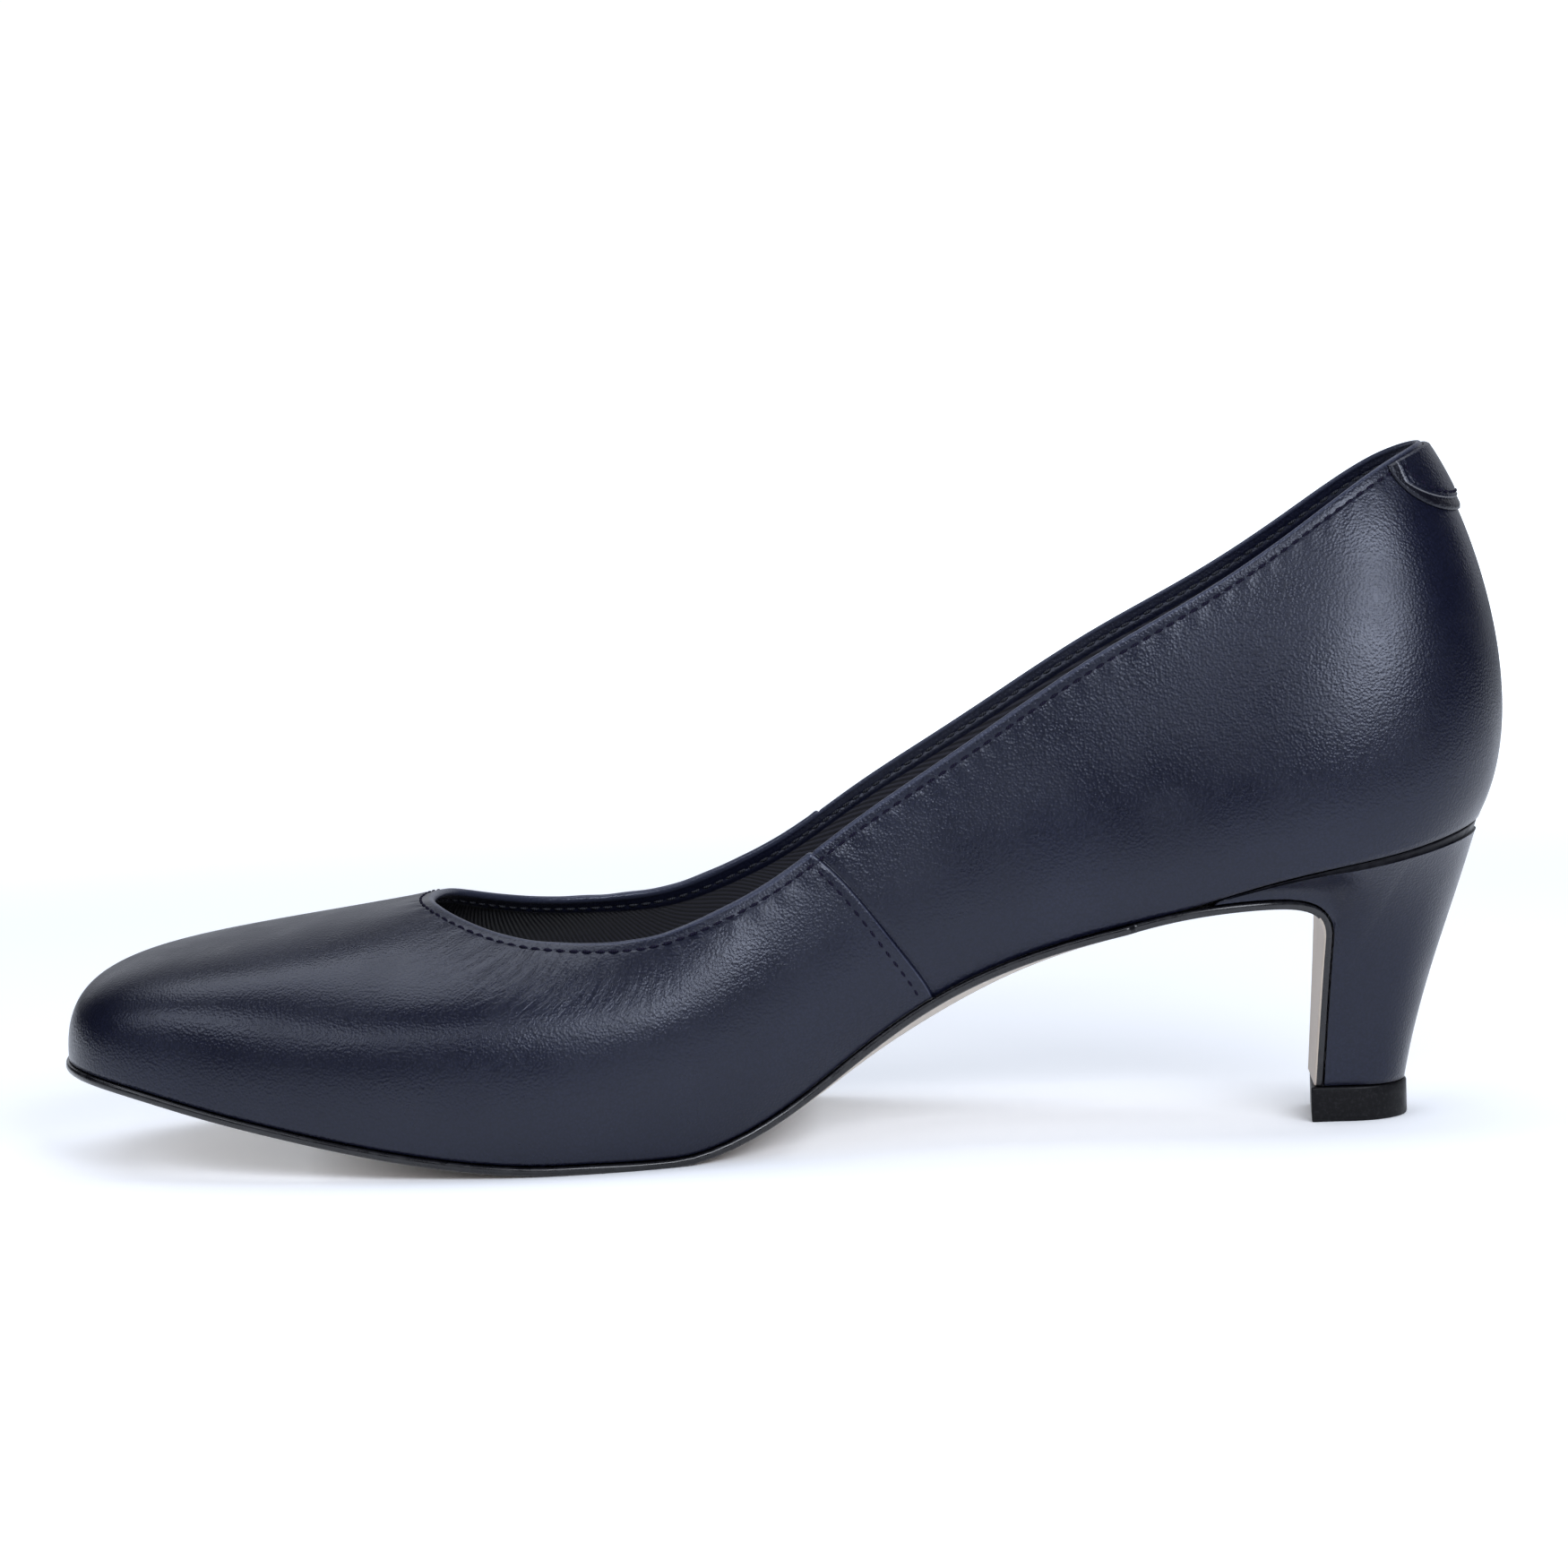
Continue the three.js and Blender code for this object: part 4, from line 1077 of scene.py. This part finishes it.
# Lining: a sine rib across the piece's own running lengths, with a fine weave
def liningMaterial():
    look = liningLook
    material, tree, shader = newMaterial("ribbedLining", (0.010, 0.012, 0.020), 0.85, sheen=0.25)
    uv = addNode(tree, "ShaderNodeUVMap", {"uv_map": "run"}).outputs["UV"]
    parts = addNode(tree, "ShaderNodeSeparateXYZ", Vector=uv)
    slant = mathNode(tree, "MULTIPLY_ADD", parts.outputs["X"], look["slant"], parts.outputs["Y"])
    rib = mathNode(tree, "SINE", mathNode(tree, "MULTIPLY", slant, 2 * math.pi / look["ribPitch"]))
    weave = noise(tree, uv, look["weaveScale"])
    color = mixColor(tree, ramp(tree, rib, -0.9, 0.9), *look["tones"])
    normal = bump(tree, weave, look["weaveHeight"], bump(tree, rib, look["ribHeight"]))
    feed(shader, Base_Color=color, Normal=normal)
    return material


# Thread: dark and light mixed by a wave across it, which also makes the bump of its plies
def threadMaterial(name, dark, light):
    material, tree, shader = newMaterial(name, dark, 0.7, specular=0.08)
    ply = addNode(tree, "ShaderNodeTexWave", Vector=objectCoords(tree), Scale=900.0,
                  Distortion=2.0).outputs["Fac"]
    feed(shader, Base_Color=mixColor(tree, ply, dark, light), Normal=bump(tree, ply, 0.00004))
    return material


# Plain finishes. A noise is its scale, detail and roughness. tones are mixed by cloud between two
# of its values, and gloss gives the roughness from low to high over another noise
plainLooks = dict(
    sockLeather=dict(base=(0.011, 0.012, 0.018), even=0.62, coat=0.05, cloud=(30.0, 3.0),
                     between=(0.35, 0.7), tones=((0.009, 0.010, 0.015), (0.018, 0.020, 0.030)),
                     cells=1900.0),
    beigeTread=dict(base=(0.52, 0.45, 0.385), even=0.50, coat=0.05, cloud=(26.0, 5.0, 0.6),
                    between=(0.3, 0.7), tones=((0.47, 0.405, 0.345), (0.56, 0.49, 0.42)),
                    speck=(900.0, 3.0, 0.7), speckTone=(0.34, 0.28, 0.22), bump=0.00005),
    blackRubber=dict(base=(0.005, 0.005, 0.006), even=0.42, cloud=(1500.0, 4.0, 0.7), specular=0.16,
                     between=(0.45, 0.75), tones=((0.004, 0.004, 0.005), (0.014, 0.014, 0.016)),
                     gloss=(300.0, 3.0), glossRange=(0.34, 0.52)),
)
dyedEdge = dict(base=(0.006, 0.006, 0.008), even=0.32, coatRoughness=0.22, cloud=(420.0, 4.0, 0.6),
                between=(0.4, 0.75), tones=((0.004, 0.004, 0.006), (0.012, 0.012, 0.015)),
                gloss=(420.0, 4.0, 0.6), glossRange=(0.22, 0.36))
# seatRim: the rim's own black dye, with its gloss and coat taken away as painted shade under the upper's
# bulge
plainLooks["seatRim"] = dict(dyedEdge, coat=0.0, specular=0.04)
plainLooks["dressedEdge"] = dict(dyedEdge, coat=0.25, specular=0.45)


# Plain finish: tones mixed by a cloud, then a share of specks. Its bump follows cells, specks or
# the cloud, in that order
def plainMaterial(name):
    look = plainLooks[name]
    finish = {key: look[key] for key in ("coat", "coatRoughness", "specular") if key in look}
    material, tree, shader = newMaterial(name, look["base"], look["even"], **finish)
    coords = objectCoords(tree)
    relief = noise(tree, coords, *look["cloud"])
    color = mixColor(tree, ramp(tree, relief, *look["between"]), *look["tones"])
    if "speck" in look:
        relief = noise(tree, coords, *look["speck"])
        color = mixColor(tree, ramp(tree, relief, 0.62, 0.75, 0.0, 0.22), color, look["speckTone"])
    if "cells" in look:
        relief = addNode(tree, "ShaderNodeTexVoronoi", Vector=coords,
                         Scale=look["cells"]).outputs["Distance"]
    if "gloss" in look:
        cloud = noise(tree, coords, *look["gloss"])
        feed(shader, Roughness=ramp(tree, cloud, 0.3, 0.7, *look["glossRange"]))
    feed(shader, Base_Color=color, Normal=bump(tree, relief, look.get("bump", 0.00003)))
    return material


# Materials in the order of the piece's slots
def dress(piece, *materials):
    for material in materials:
        piece.data.materials.append(material)


dress(upperPiece, leatherMaterial("navyLeather", edged=True), liningMaterial())
dress(heelPiece, leatherMaterial("heelLeather", tint=1.05), plainMaterial("seatRim"))
dress(tabPiece, leatherMaterial("tabLeather", tint=0.9, rimmed=True, grain=1.4))
dress(sockPiece, plainMaterial("sockLeather"))
dress(outsolePiece, plainMaterial("dressedEdge"), plainMaterial("beigeTread"))
dress(liftPiece, plainMaterial("blackRubber"))
threadFinish = threadMaterial("navyThread", (0.003, 0.003, 0.008), (0.012, 0.010, 0.028))
paleFinish = threadMaterial("paleThread", (0.014, 0.015, 0.019), (0.050, 0.053, 0.064))
for thread in threads:
    dress(thread, paleFinish if thread is threads[1] else threadFinish)
print("materials made")

# Floor: a pale sheet that takes shadows near the shoe and fades into the room's white far off. Its glow is
# painted light that lifts its shadows, cut by a painted contact shadow under the sole.
# Lengths in metres
floorLook = dict(color=(0.92, 0.93, 0.95), reach=30.0, glow=0.25, farGlow=0.40,
                  glowColor=(0.84, 0.91, 1.0), contact=0.006,
                  fadeFrom=0.45, fadeTo=1.6, whiteFrom=0.30, whiteTo=0.85, white=1.2)


# Glow of the floor, painted light that lifts its shadows: (near glow + (far glow - near glow) times
# fade) times openness at contacts, a painted contact shadow, plus white times its own fade where the
# camera sees it. Its base colour fades to black
def makeFloor():
    look = floorLook
    reach = look["reach"]
    mesh = bpy.data.meshes.new("floor")
    corners = [(-reach, -reach, 0), (reach, -reach, 0), (reach, reach, 0), (-reach, reach, 0)]
    mesh.from_pydata(corners, [], [(0, 1, 2, 3)])
    floor = newObject("floor", mesh)
    material, tree, shader = newMaterial("paleFloor", look["color"], 0.9, specular=0.0)
    parts = addNode(tree, "ShaderNodeSeparateXYZ", Vector=objectCoords(tree))
    x, y = parts.outputs["X"], parts.outputs["Y"]
    square = mathNode(tree, "MULTIPLY_ADD", x, x, mathNode(tree, "MULTIPLY", y, y))
    distance = mathNode(tree, "SQRT", square)
    far = ramp(tree, distance, look["fadeFrom"], look["fadeTo"])
    color = mixColor(tree, far, look["color"], (0.0, 0.0, 0.0))
    glow = mathNode(tree, "MULTIPLY_ADD", far, look["farGlow"] - look["glow"], look["glow"])
    # painted contact shadow: ambient occlusion dims the floor's glow where the sole comes close
    near = addNode(tree, "ShaderNodeAmbientOcclusion", Distance=look["contact"]).outputs["AO"]
    seen = addNode(tree, "ShaderNodeLightPath").outputs["Is Camera Ray"]
    white = ramp(tree, distance, look["whiteFrom"], look["whiteTo"], 0.0, look["white"])
    white = mathNode(tree, "MULTIPLY", seen, white)
    glow = mathNode(tree, "MULTIPLY_ADD", glow, near, white)
    feed(shader, Base_Color=color, Emission_Color=(*look["glowColor"], 1), Emission_Strength=glow)
    dress(floor, material)


makeFloor()

# Soft studio light in a dim room: a wide overhead, boxes for the heel's and the toe's near side
# and a wall of light behind. Places and sizes in metres, powers in watts, spread in degrees
lights = dict(
    overhead=dict(place=(0.0, 0.45, 2.0), size=(2.6, 1.6), power=32, aim=(0.0, 0.0, 0.0)),
    heelBox=dict(place=(0.31, -0.51, 0.37), size=(0.52, 0.24), power=0.77, aim=(0.115, 0.0, 0.08),
                 spread=75),
    toeBox=dict(place=(-0.52, -0.50, 0.54), size=(0.85, 0.26), power=2.6, aim=(-0.06, 0.0, 0.03)),
    behind=dict(place=(0.3, 1.7, 0.62), size=(3.2, 1.05), power=6.6, aim=(0.0, 0.0, 0.08)),
)
lightColor = (0.87, 0.91, 1.0)
room = dict(color=(0.93, 0.96, 1.0), seen=1.10, felt=0.02)


# Rectangular light at its place, turned so that its -Z axis points at its aim
def addLight(name, place, size, power, aim, spread=180):
    light = bpy.data.lights.new(name, "AREA")
    light.shape = "RECTANGLE"
    light.size, light.size_y = size
    light.energy = power
    light.color = lightColor
    light.spread = math.radians(spread)
    lamp = newObject(name, light)
    lamp.location = place
    lamp.rotation_euler = (Vector(aim) - Vector(place)).to_track_quat("-Z", "Y").to_euler()
    lamp.visible_camera = False


# Room's strength: felt + (seen - felt) times one where the camera looks straight at it
def makeRoom():
    world = bpy.data.worlds.new("room")
    world.use_nodes = True
    tree = world.node_tree
    ray = tree.nodes.new("ShaderNodeLightPath").outputs["Is Camera Ray"]
    strength = mathNode(tree, "MULTIPLY_ADD", ray, room["seen"] - room["felt"], room["felt"])
    feed(tree.nodes["Background"], Color=(*room["color"], 1), Strength=strength)
    bpy.context.scene.world = world


for name, values in lights.items():
    addLight(name, **values)
makeRoom()

# Camera: the photograph's view, from the inner side, a little above the floor and rolled. Angles
# in degrees, distance and target in millimetres, the rest in pixels of the photograph
view = dict(azimuth=1.723, elevation=6.891, roll=-2.0, distance=1000.0, target=(119.1, 0.0, 55.0),
            focal=6723.0, offset=(-5.716, 20.293), frame=1750.0)


# Camera's axes from azimuth and elevation, then rolled: right' = cos right + sin up, and
# up' = cos up - sin right. It stands at the target plus its distance backwards
def makeCamera():
    az, el, roll = (math.radians(view[key]) for key in ("azimuth", "elevation", "roll"))
    back = Vector((math.sin(az) * math.cos(el), -math.cos(az) * math.cos(el), math.sin(el)))
    right = (-back).cross(Vector((0, 0, 1))).normalized()
    up = right.cross(-back).normalized()
    rolledRight = math.cos(roll) * right + math.sin(roll) * up
    rolledUp = -math.sin(roll) * right + math.cos(roll) * up
    place = Vector(toFrame(np.array(view["target"]))) + back * view["distance"] / 1000
    data = bpy.data.cameras.new("view")
    data.sensor_width = 36.0
    data.lens = data.sensor_width * view["focal"] / view["frame"]
    data.shift_x = -view["offset"][0] / view["frame"]
    data.shift_y = view["offset"][1] / view["frame"]
    camera = newObject("view", data)
    turn = Matrix((rolledRight, rolledUp, back)).transposed().to_4x4()
    camera.matrix_world = Matrix.Translation(place) @ turn
    bpy.context.scene.camera = camera


makeCamera()
bpy.context.scene.view_settings.view_transform = "Standard"
print("stage, lights and camera made")
